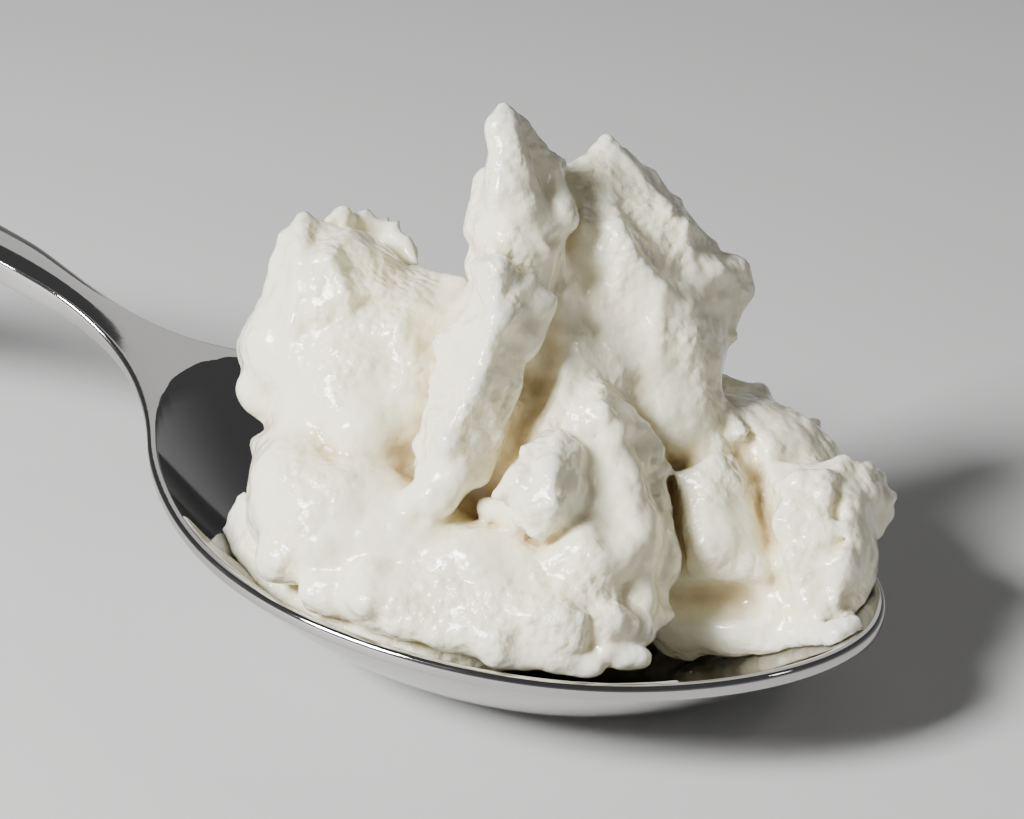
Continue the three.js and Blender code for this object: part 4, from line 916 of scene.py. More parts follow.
# Small lumps and teeth, which the plain solids leave out.
SMALL_LUMPS = (
    # Ribs of the column.
    Cone(0.8, (17, 14, 12.5), 2, (17.5, 9.5, 13.5), 2.9),
    Cone(0.8, (19.5, 12.5, 12), 1.6, (20, 8, 13), 2.4),
    Cone(0.6, (15.5, 15, 13), 0.9, (18, 16, 12.5), 1),
    Cone(0.6, (18, 16, 12.5), 1, (19.5, 14.5, 12.5), 1),
    Cone(0.8, (15, 7.5, 14), 1.2, (21.5, 7, 14), 1.2),
    # Ribs of the low lump behind the tip lump.
    Cone(0.4, (25.5, 19, 3), 0.8, (25.5, 17, 5), 1),
    Cone(0.7, (17, 19.5, 8), 0.6, (18.5, 17.5, 9.5), 0.8),
    Cone(0.7, (19.5, 21, 7), 0.6, (20.5, 18, 9.5), 0.8),
    Cone(0.7, (22, 20, 6), 0.6, (23, 17.5, 9), 0.8),
    Cone(0.7, (24.5, 19.5, 5), 0.5, (24.5, 17, 8), 0.7),
    # Curds and two teeth of the tip lump.
    Ball(1, (25, 15, 13.5), (1.3, 1, 1)),
    Ball(1, (27, 15, 13.5), (1, 1.2, 1)),
    Ball(1, (23.5, 11.5, 15), (1.2, 1.5, 1)),
    Ball(1, (26, 11.5, 15.5), (1.3, 1.2, 0.9)),
    Ball(1, (29, 12.5, 13.5), (1.2, 1, 1)),
    Ball(0.8, (31, 13.5, 11), (1, 1.2, 1)),
    Ball(1, (25, 8.5, 16.5), (1.6, 1.5, 1)),
    Ball(1, (28, 7.5, 17), (1.5, 1.4, 1)),
    Ball(1, (26, 5, 17), (1.8, 1.2, 1)),
    Cone(0.4, (30.5, 15, 10), 0.8, (31.5, 16, 9), 0.25),
    Cone(0.4, (32.5, 13, 9.5), 0.8, (33.5, 13.5, 9), 0.3),
    # Edge of the pool.
    Cone(1.4, (24, 2, 14.5), 0.8, (27, 2.5, 20), 0.9),
    Cone(1.4, (27, 2.5, 20), 0.9, (28.5, 3.5, 20), 0.8),
    Cone(1.2, (14, 1, 8.5), 0.8, (16, 0, 10.5), 0.6),
    Cone(0.5, (18, 0.5, 9), 0.6, (18.5, 0, 10), 0.25),
    Cone(0.5, (20.5, 1, 10.5), 0.6, (21, 0.5, 11.5), 0.25),
    Cone(0.5, (22.5, 1.5, 13), 0.6, (23, 1, 14.5), 0.25),
    # Curds and teeth of the cone in front.
    Ball(0.9, (6.5, 9, 21.5), (2.6, 1.5, 1.2)),
    Ball(1.6, (11, 5.5, 20), (1.6, 1.6, 1)),
    Ball(0.8, (4, 4.5, 24.5), (2.4, 1, 1)),
    Ball(0.8, (8.5, 4, 23), (2, 1, 1)),
    Ball(0.8, (8, 19.5, 17.5), (1.4, 1.4, 1)),
    Ball(0.8, (7, 17.5, 18.5), (1.2, 1.6, 1)),
    Ball(0.9, (11, 12, 18.5), (1.2, 1.6, 1)),
    Cone(0.4, (12.5, 15.5, 14), 0.8, (14, 16, 14), 0.25),
    Cone(0.4, (13, 13.5, 14.5), 0.8, (14, 12.5, 14.5), 0.25),
    Cone(0.4, (12.5, 5.5, 16.5), 0.9, (14, 4, 17), 0.35),
    # Curds of the knob.
    Ball(0.6, (3.5, 16.5, 22.5), (1.1, 1, 0.8)),
    Ball(0.6, (5, 14.5, 22), (1.2, 1.2, 0.9)),
    Ball(0.6, (2.5, 13, 23), (1.1, 0.8, 0.8)),
    Ball(0.6, (5.5, 16.5, 20.5), (1, 1.2, 0.8)),
    # Teeth of the fan.
    Cone(0.4, (-14.5, 38, 3.5), 0.9, (-15, 39, 3), 0.2),
    Cone(0.4, (-12.5, 38, 2), 0.8, (-12.5, 39, 1.5), 0.2),
    Cone(0.4, (-11, 37.5, 1.5), 0.7, (-10.5, 38.5, 1), 0.2),
    Cone(0.4, (-10, 37, 2), 0.8, (-9.5, 38, 1.5), 0.2),
    Cone(0.4, (-9, 36, 2.5), 0.8, (-8.5, 36.5, 2), 0.2),
    # Blunt edge of the right boulder.
    Cone(1.4, (20.5, 33.5, 3), 1.2, (20.5, 31, 2.5), 1.2),
    # Curds of the lower left lobe.
    Ball(0.9, (-15, 11, 23), (1.6, 1.6, 1.2)),
    Ball(0.9, (-12.5, 13.5, 22), (1.2, 1.4, 1.2)),
    Ball(0.9, (-11, 7, 25), (1.6, 2, 1.2)),
)

# Small hollows, which the plain solids leave out.
SMALL_HOLLOWS = (
    # Recess between the column and the tip lump.
    Cone(0.4, (20.5, 18, 12.5), 1.3, (21, 13.5, 15.5), 0.8),
    Cone(0.4, (21, 17.5, 10), 1.4, (21.5, 13.5, 13), 1),
    Cone(0.25, (20, 19, 13.5), 1.4, (21, 13, 16), 0.75),
    Cone(0.4, (21.5, 12.5, 15), 0.5, (22.5, 6, 16.5), 0.6),
    # Recess under the column.
    Cone(0.8, (13, 4.5, 14.5), 1.7, (20.5, 5, 15), 1.6),
    Cone(0.8, (14, 5, 13), 1.2, (20, 5, 14), 1),
    Cone(0.8, (20.5, 5, 15.5), 1.3, (23, 6, 16.5), 0.3),
    # Cleft between the cone and the column.
    Cone(0.4, (14, 13.5, 13.5), 0.7, (14.5, 6, 14.5), 1),
    # Creases of the low lump and of the tip lump.
    Cone(0.4, (23.5, 19.5, 6.5), 0.4, (23.5, 17, 9), 0.5),
    Cone(0.4, (21, 19.5, 8.5), 0.4, (21.5, 18, 10), 0.5),
    Cone(0.4, (28, 13.5, 15), 0.4, (28, 12, 15.5), 0.5),
    Cone(0.5, (24.5, 10, 17), 0.4, (26.5, 9.5, 17.5), 0.5),
    # Creases along the foot of the heap.
    Cone(0.6, (4, 6, 25.5), 0.4, (8, 5.5, 24.5), 0.5),
    Cone(1, (-8, 5.5, 26), 0.9, (0, 5.5, 26.5), 0.9),
    Cone(0.6, (-9, 7, 26.5), 0.7, (-9, 5, 26.5), 0.7),
    # Flat of the cone in front.
    Cone(1.8, (8, 18.5, 20.5), 1.2, (9, 12, 22.5), 1.7),
    # Gaps between the teeth of the fan.
    Cone(0.4, (-13.5, 37.5, 4), 0.4, (-13, 35.5, 4), 0.6),
    Cone(0.4, (-11.5, 37.5, 3), 0.4, (-11.5, 35, 3), 0.6),
    Cone(0.4, (-9, 36.5, 3.5), 0.4, (-9.5, 34.5, 3.5), 0.5),
)


# ---------------------------------------------------------------------------
# The quark: unevenness of the curd
# ---------------------------------------------------------------------------
# Odd factors and bit shifts that scramble whole numbers, and the bits kept of them.
POINT_MIX = (374761393, 668265263, 1440662683)
SEED_MIX = 974634777
STIR = ((13, 1274126177), (16, 2246822519))
LAST_SHIFT = 15
LOW_32 = 0xFFFFFFFF
DRAW_BITS = 10
DRAW_TOP = 2 ** DRAW_BITS - 1

# Brings the waves up to about -1 to 1.
WAVE_GAIN = 1.4


def scramble(cells: Array, shift: Sequence[int], seed: int) -> Array:
    """A repeatable 32-bit mix of lattice points and a seed.

    Args:
        cells: whole numbers, three to a point.
        shift: added to each point.
        seed: picks one of many patterns.

    Returns:
        One mixed number for each point.
    """
    with np.errstate(over="ignore"):
        total = np.full(cells.shape[:-1], seed * SEED_MIX, np.int64)
        for axis in range(3):
            total = total + (cells[..., axis].astype(np.int64) + shift[axis]) * POINT_MIX[axis]
        h = (total & LOW_32).astype(np.uint64)
        for down, factor in STIR:
            h = ((h ^ (h >> np.uint64(down))) * np.uint64(factor)) & np.uint64(LOW_32)
        return h ^ (h >> np.uint64(LAST_SHIFT))


def draws(h: Array) -> list[Array]:
    """Three numbers from 0 to 1 out of each mixed number."""
    return [((h >> np.uint64(DRAW_BITS * i)) & np.uint64(DRAW_TOP)).astype(np.float32) / DRAW_TOP
            for i in range(3)]


def waves(points: Array, seed: int) -> Array:
    """Smooth waves, about -1 to 1, one rise or fall per unit length."""
    cells = np.floor(points).astype(np.int32)
    f = (points - cells).astype(np.float32)
    w = f * f * f * (f * (f * 6 - 15) + 10)
    total = np.zeros(points.shape[:-1], np.float32)
    for corner in np.ndindex(2, 2, 2):
        tilt = np.zeros_like(total)
        weight = np.ones_like(total)
        for axis, value in enumerate(draws(scramble(cells, corner, seed))):
            tilt += (2 * value - 1) * (f[..., axis] - corner[axis])
            weight *= w[..., axis] if corner[axis] else 1 - w[..., axis]
        total += weight * tilt
    return total * WAVE_GAIN


def nearest_grain(points: Array, seed: int) -> Array:
    """Squared distance to the nearest of the points scattered one to each unit cube."""
    cells = np.floor(points).astype(np.int32)
    f = (points - cells).astype(np.float32)
    best = np.full(points.shape[:-1], np.inf, np.float32)
    for place in np.ndindex(3, 3, 3):
        shift = [value - 1 for value in place]
        gap = np.zeros_like(best)
        for axis, value in enumerate(draws(scramble(cells, shift, seed))):
            gap += (shift[axis] + value - f[..., axis]) ** 2
        best = np.minimum(best, gap)
    return best


class Texture(Enum):
    """Kinds of unevenness."""

    WAVES = "waves"
    GRAINS = "grains"
    RIDGES = "ridges"


@dataclass(frozen=True)
class Relief:
    """One layer of unevenness: its pitch and height in mm."""

    kind: Texture
    size: float
    height: float
    seed: int
    level: float = 0.35

    def rise(self, points: Array) -> Array:
        """How far the surface stands out at each point, in mm."""
        scaled = points / self.size
        if self.kind is Texture.WAVES:
            return self.height * waves(scaled, self.seed)
        if self.kind is Texture.RIDGES:
            return self.height * (self.level - np.abs(waves(scaled, self.seed)))
        return self.height * (self.level - nearest_grain(scaled, self.seed))


CORNERS = np.array(list(np.ndindex(2, 2, 2)))
CUBE_EDGES = tuple((a, b) for a in range(8) for b in range(a + 1, 8)
                   if np.abs(CORNERS[a] - CORNERS[b]).sum() == 1)
PATTERNS = 2 ** len(CORNERS)
SETTLING_ROUNDS = 3
SOFTENING_ROUNDS = 3


def patch_table() -> Array:
    """For each pattern of a cube's inner corners, how many groups its corners fall in."""
    table = np.zeros(PATTERNS, int)
    for pattern in range(PATTERNS):
        group = list(range(len(CORNERS)))
        for a, b in CUBE_EDGES * SETTLING_ROUNDS:
            if (pattern >> a & 1) == (pattern >> b & 1):
                group[a] = group[b] = min(group[a], group[b])
        table[pattern] = len(set(group))
    return table


@dataclass
class Lattice:
    """Field values on a regular lattice: negative inside the quark, in mm."""

    low: Array
    step: float
    values: Array

    def axis(self, number: int) -> Array:
        """Places of the lattice planes along one axis."""
        return (self.low[number] + self.step * np.arange(self.values.shape[number])).astype(np.float32)

    def window(self, low: Array, high: Array) -> tuple[slice, ...]:
        """The part of the lattice between two corners."""
        first = np.maximum(((low - self.low) / self.step).astype(int), 0)
        last = np.minimum(((high - self.low) / self.step).astype(int) + 2, self.values.shape)
        return tuple(slice(a, max(a, b)) for a, b in zip(first, last))

    def places(self, window: tuple[slice, ...]) -> Array:
        """Points of a part of the lattice, in mm."""
        axes = [self.axis(i)[window[i]] for i in range(3)]
        return np.stack(np.meshgrid(*axes, indexing="ij"), -1)

    def patterns(self) -> Array:
        """For each cube of the lattice, which of its corners lie inside, as bits."""
        inside = self.values < 0
        total = np.zeros([n - 1 for n in inside.shape], np.int32)
        for number, corner in enumerate(CORNERS):
            part = inside[tuple(slice(c, c + n) for c, n in zip(corner, total.shape))]
            total |= part.astype(np.int32) << number
        return total

    def make_simple(self, fill_value: float) -> None:
        """Fills lattice points until each cube has one patch of surface through it at most."""
        groups = patch_table()
        while True:
            cubes = np.argwhere(groups[self.patterns()] > 2)
            if not len(cubes):
                return
            corners = cubes[:, None, :] + CORNERS[None]
            values = self.values[tuple(corners.transpose(2, 0, 1))]
            values = np.where(values < 0, np.inf, values)
            chosen = corners[np.arange(len(cubes)), values.argmin(1)]
            self.values[tuple(chosen.T)] = -fill_value

    def surface(self) -> tuple[Array, Array]:
        """The field's zero surface: corner points in mm, and four-sided faces pointing out.

        Returns:
            Points and faces. One point lies in each cube that the surface passes through, and
            the four cubes round a lattice edge that crosses it share a face.
        """
        patterns = self.patterns()
        active = (patterns > 0) & (patterns < PATTERNS - 1)
        cubes = np.argwhere(active)
        corners = cubes[:, None, :] + CORNERS[None]
        values = self.values[tuple(corners.transpose(2, 0, 1))]
        total = np.zeros((len(cubes), 3))
        count = np.zeros((len(cubes), 1))
        for a, b in CUBE_EDGES:
            crossed = ((values[:, a] < 0) != (values[:, b] < 0))[:, None]
            gap = np.where(crossed[:, 0], values[:, a] - values[:, b], 1.0)
            share = (values[:, a] / gap)[:, None]
            total += np.where(crossed, mix(CORNERS[a][None], CORNERS[b][None], share), 0)
            count += crossed
        points = self.low + self.step * (cubes + total / count)
        number = np.full(active.shape, -1)
        number[active] = np.arange(len(cubes))
        inside = self.values < 0
        faces = []
        for axis in range(3):
            here = [slice(1, n - 1) for n in inside.shape]
            ahead = list(here)
            ahead[axis] = slice(2, inside.shape[axis])
            at = np.argwhere(inside[tuple(here)] != inside[tuple(ahead)]) + 1
            u = np.eye(3, dtype=int)[(axis + 1) % 3]
            v = np.eye(3, dtype=int)[(axis + 2) % 3]
            quad = np.stack([number[tuple((at - back).T)] for back in (0 * u, u, u + v, v)], 1)
            out = inside[tuple(at.T)]
            faces.append(np.where(out[:, None], quad, quad[:, ::-1]))
        return points, np.concatenate(faces)

    def softened(self, width: float, reach: float) -> Array:
        """How much quark surrounds each lattice point, 0 to 1, within about the reach in mm."""
        filled = np.clip(0.5 - self.values / width, 0, 1).astype(np.float32)
        half = max(1, round(reach / self.step / 2))
        for _ in range(SOFTENING_ROUNDS):
            for axis in range(3):
                pad = [(half + 1, half) if i == axis else (0, 0) for i in range(3)]
                total = np.cumsum(np.pad(filled, pad), axis=axis, dtype=np.float32)
                size = filled.shape[axis]
                upper = np.take(total, np.arange(size) + 2 * half + 1, axis=axis)
                lower = np.take(total, np.arange(size), axis=axis)
                filled = (upper - lower) / (2 * half + 1)
        return filled

    def sample(self, grid: Array, points: Array) -> Array:
        """Values of a grid of the lattice's size at points in mm, evenly blended."""
        place = (points - self.low) / self.step
        base = np.clip(np.floor(place).astype(int), 0, np.array(grid.shape) - 2)
        share = place - base
        result = np.zeros(len(points))
        for corner in CORNERS:
            weight = np.where(corner, share, 1 - share).prod(1)
            result += weight * grid[tuple((base + corner).T)]
        return result


def largest_part(count: int, faces: Array) -> Array:
    """Finds the largest connected part of a mesh.

    Args:
        count: number of corner points.
        faces: corner numbers of the four-sided faces.

    Returns:
        For each point, whether it belongs to the largest part.
    """
    label = np.arange(count)
    pairs = np.concatenate([faces[:, [i, (i + 1) % 4]] for i in range(4)])
    while True:
        lowest = np.minimum(label[pairs[:, 0]], label[pairs[:, 1]])
        before = label.copy()
        np.minimum.at(label, label[pairs[:, 0]], lowest)
        np.minimum.at(label, label[pairs[:, 1]], lowest)
        label = label[label]
        if np.array_equal(before, label):
            break
    return label == np.bincount(label).argmax()


@dataclass(frozen=True)
class Tint:
    """A number stored on the heap's points, from how much quark surrounds each within a reach in mm.

    It rises from 0 to 1 between the two shares, or falls from 1 to 0 where it marks exposed curd.
    """

    name: str
    reach: float
    start: float
    end: float
    exposed: bool = False

    def values(self, share: Array) -> Array:
        """The number at each point, from the share of quark round it."""
        rise = smooth_step(share, self.start, self.end)
        return 1 - rise if self.exposed else rise


@dataclass
class QuarkHeap:
    """The heap as one field over space, drawn as one fine skin."""

    form: SpoonForm
    step: float = 0.4
    quick_step: float = 0.7
    low: Triple = (-27.5, -23.5, 1.0)
    high: Triple = (34.5, 26.0, 50.5)
    far: float = 50.0
    margin: float = 5.0
    cut_margin: float = 2.5
    skin: float = 3.5
    contact: float = 0.06
    contact_soften: float = 0.3
    slope_share: float = 0.85
    fill_value: float = 0.04
    reliefs: tuple[Relief, ...] = (
        Relief(Texture.WAVES, 7.0, 0.35, 11),
        Relief(Texture.WAVES, 3.2, 0.2, 12),
        Relief(Texture.GRAINS, 2.5, 0.4, 13, 0.3),
    )
    fine_skin: float = 1.6
    fine_reliefs: tuple[Relief, ...] = (
        Relief(Texture.RIDGES, 2.3, 0.13, 21, 0.3),
        Relief(Texture.GRAINS, 1.4, 0.19, 22),
    )
    calm: Relief = Relief(Texture.WAVES, 9.0, 1.0, 31)
    calm_ends: Pair = (-0.35, 0.3)
    least_lively: float = 0.35
    lively_gain: float = 0.85
    back_reliefs: tuple[Relief, ...] = (
        Relief(Texture.RIDGES, 4.6, 1.2, 51, 0.3),
        Relief(Texture.GRAINS, 3.6, 0.9, 52, 0.3),
    )
    back_ends: Pair = (1.0, -6.0)
    soft_edge: float = 1.0
    # hollow and crease also set where the finish paints shade as a darker ochre-brown.
    tints: tuple[Tint, ...] = (
        Tint("crease", 1.6, 0.52, 0.72),
        Tint("hollow", 4.5, 0.5, 0.8),
        Tint("crest", 1.6, 0.26, 0.46, exposed=True),
        Tint("thin", 4.5, 0.12, 0.38, exposed=True),
    )

    def put(self, lattice: Lattice, lump: Lump, axes: Array, cut: bool = False) -> None:
        """Joins a lump to the field, or cuts it out.

        Args:
            lattice: field so far.
            lump: ball, cone or plate, on the given axes.
            axes: rows that turn a place in the part's frame onto the lump's axes.
            cut: whether the lump is a hollow.
        """
        margin = self.cut_margin if cut else self.margin
        low, high = lump.box()
        box = np.where(CORNERS, high, low) @ axes
        window = lattice.window(box.min(0) - margin, box.max(0) + margin)
        distance = lump.distance(lattice.places(window) @ axes.T)
        now = lattice.values[window]
        if cut:
            lattice.values[window] = -blend_min(-now, distance, lump.blend)
        else:
            lattice.values[window] = blend_min(now, distance, lump.blend)

    def field(self) -> Lattice:
        """Works out the field: lumps, hollows, unevenness, and the steel it lies on."""
        step = self.step
        size = [math.ceil((b - a) / step) + 1 for a, b in zip(self.low, self.high)]
        lattice = Lattice(np.array(self.low), step, np.full(size, self.far, np.float32))
        axes = view_axes().astype(np.float32)
        for lump in BOWL_FILL:
            self.put(lattice, lump, np.eye(3, dtype=np.float32))
        for lump in HEAP_LUMPS + SMALL_LUMPS:
            self.put(lattice, lump, axes)
        for lump in HOLLOWS + SMALL_HOLLOWS:
            self.put(lattice, lump, axes, cut=True)
        for skin, reliefs in ((self.skin, self.reliefs), (self.fine_skin, self.fine_reliefs)):
            near = np.abs(lattice.values) < skin
            places = np.stack([lattice.axis(i)[place] for i, place in enumerate(np.nonzero(near))], -1)
            points = places @ axes.T
            rise = sum(relief.rise(points) for relief in reliefs)
            if reliefs is self.fine_reliefs:
                rise = rise * self.liveliness(points)
            else:
                rise = rise + self.back_rise(points)
            lattice.values[near] -= rise
        x, y = np.meshgrid(lattice.axis(0), lattice.axis(1), indexing="ij")
        floor = self.form.top_height(x, y) + self.contact
        clearance = (floor[..., None] - lattice.axis(2)) * self.slope_share
        lattice.values = -blend_min(-lattice.values, -clearance, self.contact_soften)
        lattice.values = lattice.values.astype(np.float32)
        return lattice

    def back_rise(self, points: Array) -> Array:
        """How far the craggier curd of the heap's back stands out at each point, in mm."""
        share = smooth_step(-points[:, 2], -self.back_ends[0], -self.back_ends[1])
        return share * sum(relief.rise(points) for relief in self.back_reliefs)

    def liveliness(self, points: Array) -> Array:
        """How rough the curd is at each point: smooth patches lie between craggy ones."""
        share = smooth_step(self.calm.rise(points), *self.calm_ends)
        return self.least_lively + self.lively_gain * share

    def build(self, material: Material) -> Object:
        """Makes the heap's skin with its tint values and lets it stand for its plain solid."""
        lattice = self.field()
        lattice.make_simple(self.fill_value)
        points, faces = lattice.surface()
        kept = largest_part(len(points), faces)
        new_number = np.cumsum(kept) - 1
        faces = new_number[faces[kept[faces[:, 0]]]]
        points = points[kept]
        piece = new_mesh("quark_skin", points * MM, faces)
        around = {reach: lattice.sample(lattice.softened(self.soft_edge, reach), points)
                  for reach in {tint.reach for tint in self.tints}}
        for tint in self.tints:
            add_values(piece, tint.name, tint.values(around[tint.reach]))
        shade_smooth(piece)
        piece.data.materials.append(material)
        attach(piece, BODY)
        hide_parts("quark_heap")
        return piece


# ---------------------------------------------------------------------------
# Finishes
# ---------------------------------------------------------------------------
Colour = tuple[float, float, float, float]

# Places of a mix node's colour sockets: their names also stand for sockets of other kinds.
MIX_SHARE = 0
MIX_LOW = 6
MIX_HIGH = 7
MIX_RESULT = 2


def new_material(name: str) -> tuple[Material, NodeTree, Node]:
    """Makes a material with nodes.

    Args:
        name: name of the material.

    Returns:
        The material, its tree and its Principled BSDF.
    """
    material = bpy.data.materials.new(name)
    material.use_nodes = True
    tree = material.node_tree
    return material, tree, tree.nodes["Principled BSDF"]


def mixed(tree: NodeTree, share: object, low: object, high: object) -> NodeSocket:
    """Mixes two colours by a share from 0 to 1."""
    colours = {MIX_SHARE: share, MIX_LOW: low, MIX_HIGH: high}
    return add_node(tree, "ShaderNodeMix", colours, data_type="RGBA").outputs[MIX_RESULT]


def noise(tree: NodeTree, place: NodeSocket, scale: Number, detail: float) -> Term:
    """A cloudy pattern from 0 to 1.

    Args:
        tree: tree that it goes in.
        place: where it is read.
        scale: clouds to a metre.
        detail: how many finer layers it has.

    Returns:
        The pattern.
    """
    inputs = {"Vector": place, "Scale": scale, "Detail": detail}
    return Term(tree, add_node(tree, "ShaderNodeTexNoise", inputs).outputs["Fac"])


def dimmed(colour: Colour, share: float) -> Colour:
    """A colour with the given share of its brightness."""
    return tuple(share * value for value in colour[:3]) + (1.0,)


def object_place(tree: NodeTree) -> NodeSocket:
    """Object coordinates."""
    return add_node(tree, "ShaderNodeTexCoord").outputs["Object"]


def add_bump(tree: NodeTree, skin: Node, height: Term, relief: float, strength: float) -> None:
    """Lets a height pattern tilt the light on a finish.

    Args:
        tree: tree of the finish.
        skin: its Principled BSDF.
        height: pattern from 0 to 1.
        relief: height of the pattern, in metres.
        strength: how strongly it shows, 0 to 1.
    """
    bump = add_node(tree, "ShaderNodeBump",
                    {"Height": height, "Distance": relief, "Strength": strength})
    tree.links.new(bump.outputs["Normal"], skin.inputs["Normal"])


@dataclass(frozen=True)
class Speckle:
    """The pattern of fine curd that every milky finish uses."""

    softness: float = 0.6
    grain_share: float = 0.7
    fine_share: float = 0.35
    fine_pitch: float = 1.9
    fine_detail: float = 1.5
    patch_pitch: float = 0.12
    patch_detail: float = 2.0
    patch_ends: Pair = (0.38, 0.62)

    def group(self) -> NodeTree:
        """Builds the group, which takes a place and a pitch and gives two numbers from 0 to 1."""
        group = bpy.data.node_groups.new("curd_speckle", "ShaderNodeTree")
        for name, side, kind in (("Place", "INPUT", "Vector"), ("Grains per metre", "INPUT", "Float"),
                                 ("Height", "OUTPUT", "Float"), ("Patches", "OUTPUT", "Float")):
            group.interface.new_socket(name, in_out=side, socket_type="NodeSocket" + kind)
        source = group.nodes.new("NodeGroupInput")
        result = group.nodes.new("NodeGroupOutput")
        place = source.outputs["Place"]
        pitch = Term(group, source.outputs["Grains per metre"])
        grains = add_node(group, "ShaderNodeTexVoronoi", feature="SMOOTH_F1")
        fill_in(group, grains, {"Vector": place, "Scale": pitch, "Smoothness": self.softness})
        fine = noise(group, place, pitch * self.fine_pitch, self.fine_detail)
        broad = noise(group, place, pitch * self.patch_pitch, self.patch_detail)
        bumps = (1.0 - Term(group, grains.outputs["Distance"])) * self.grain_share
        height = bumps + fine * self.fine_share
        patches = broad.eased(*self.patch_ends)
        fill_in(group, result, {"Height": height, "Patches": patches})
        return group

    def apply(self, tree: NodeTree, group: NodeTree, pitch: float) -> tuple[Term, Term]:
        """Puts the pattern in a finish.

        Args:
            tree: tree of the finish.
            group: the pattern's group.
            pitch: grains to a metre.

        Returns:
            Its height and its patchiness.
        """
        grain = add_node(tree, "ShaderNodeGroup", node_tree=group)
        fill_in(tree, grain, {"Place": object_place(tree), "Grains per metre": pitch})
        return Term(tree, grain.outputs["Height"]), Term(tree, grain.outputs["Patches"])


def mesh_value(tree: NodeTree, name: str) -> Term:
    """A number stored on the piece's points."""
    node = add_node(tree, "ShaderNodeAttribute", attribute_name=name)
    return Term(tree, node.outputs["Fac"])


@dataclass(frozen=True)
class QuarkFinish:
    """Moist white curd: cool on its crests, cream in its hollows, and deep down ochre-brown that is
    partly its own yellow and partly painted shade.
    """

    white: Colour = (0.90, 0.86, 0.655, 1.0)
    cool: Colour = (0.78, 0.775, 0.68, 1.0)
    cream: Colour = (0.82, 0.71, 0.45, 1.0)
    # Ochre-brown of the deepest creases and hollows: partly the curd's own yellow, partly painted
    # shade.
    ochre_and_painted_shade: Colour = (0.46, 0.35, 0.175, 1.0)
    hollow_cream: float = 0.95
    crease_cream: float = 0.6
    patch_cream: float = 0.12
    cream_start: float = 0.02
    crest_cool: float = 0.35
    thin_cool: float = 0.75
    crease_ochre_and_shade: float = 0.95
    hollow_ochre_and_shade: float = 0.45
    milk_reach: float = 0.0012
    milk_share: float = 0.42
    milk_radii: Triple = (1.0, 0.86, 0.58)
    refraction: float = 1.38
    roughness: float = 0.26
    crease_roughness: float = 0.05
    patch_shine: float = 0.13
    wetness: float = 0.6
    wet_roughness: float = 0.06
    wet_refraction: float = 1.4
    grains_per_metre: float = 1050.0
    relief: float = 0.00055
    least_relief: float = 0.25
    bump: float = 0.8

    def build(self, speckle: Speckle, group: NodeTree) -> Material:
        """Makes the material."""
        material, tree, skin = new_material("moist_quark")
        height, patches = speckle.apply(tree, group, self.grains_per_metre)
        hollow, crease = mesh_value(tree, "hollow"), mesh_value(tree, "crease")
        crest, thin = mesh_value(tree, "crest"), mesh_value(tree, "thin")
        creamy = (hollow * self.hollow_cream + crease * self.crease_cream + patches * self.patch_cream
                  - self.cream_start).maths("MINIMUM", 1.0)
        outer = (crest * self.crest_cool + thin * self.thin_cool).maths("MINIMUM", 1.0)
        warm = mixed(tree, creamy, mixed(tree, outer, self.white, self.cool), self.cream)
        # Painted shade: deep in creases and hollows the colour darkens towards ochre-brown, partly the
        # curd's own yellow, partly shade painted into the colour.
        ochre_and_shade_weight = crease * self.crease_ochre_and_shade + self.hollow_ochre_and_shade
        ochre_and_shade_share = (hollow * hollow * ochre_and_shade_weight).maths("MINIMUM", 1.0)
        fill_in(tree, skin, {
            "Base Color": mixed(tree, ochre_and_shade_share, warm, self.ochre_and_painted_shade),
            "Subsurface Weight": self.milk_share,
            "Subsurface Scale": self.milk_reach,
            "Subsurface Radius": self.milk_radii,
            "IOR": self.refraction,
            "Roughness": crease * self.crease_roughness - patches * self.patch_shine + self.roughness,
            "Coat Weight": self.wetness,
            "Coat Roughness": self.wet_roughness,
            "Coat IOR": self.wet_refraction,
        })
        uneven = height * (patches * (1 - self.least_relief) + self.least_relief)
        add_bump(tree, skin, uneven, self.relief, self.bump)
        return material


@dataclass(frozen=True)
class SteelFinish:
    """Polished stainless steel with faint wipe marks along it."""

    colour: Colour = (0.53, 0.52, 0.505, 1.0)
    blot_light: float = 0.93
    roughness: float = 0.045
    blot_roughness: float = 0.07
    line_roughness: float = 0.03
    line_stretch: Triple = (0.09, 1.0, 1.0)
    lines_per_metre: float = 2600.0
    line_detail: float = 4.0
    line_ends: Pair = (0.4, 0.75)
    blots_per_metre: float = 90.0
    blot_detail: float = 3.0
    blot_ends: Pair = (0.45, 0.7)
    relief: float = 0.00001
    bump: float = 0.25

    def build(self) -> Material:
        """Makes the material."""
        material, tree, skin = new_material("polished_steel")
        place = object_place(tree)
        long_way = add_node(tree, "ShaderNodeMapping", {"Vector": place, "Scale": self.line_stretch})
        lines = noise(tree, long_way.outputs[0], self.lines_per_metre, self.line_detail)
        line = lines.eased(*self.line_ends)
        blot = noise(tree, place, self.blots_per_metre, self.blot_detail).eased(*self.blot_ends)
        fill_in(tree, skin, {
            "Roughness": blot * self.blot_roughness + line * self.line_roughness + self.roughness,
            "Base Color": mixed(tree, blot, self.colour, dimmed(self.colour, self.blot_light)),
            "Metallic": 1.0,
        })
        add_bump(tree, skin, lines, self.relief, self.bump)
        return material


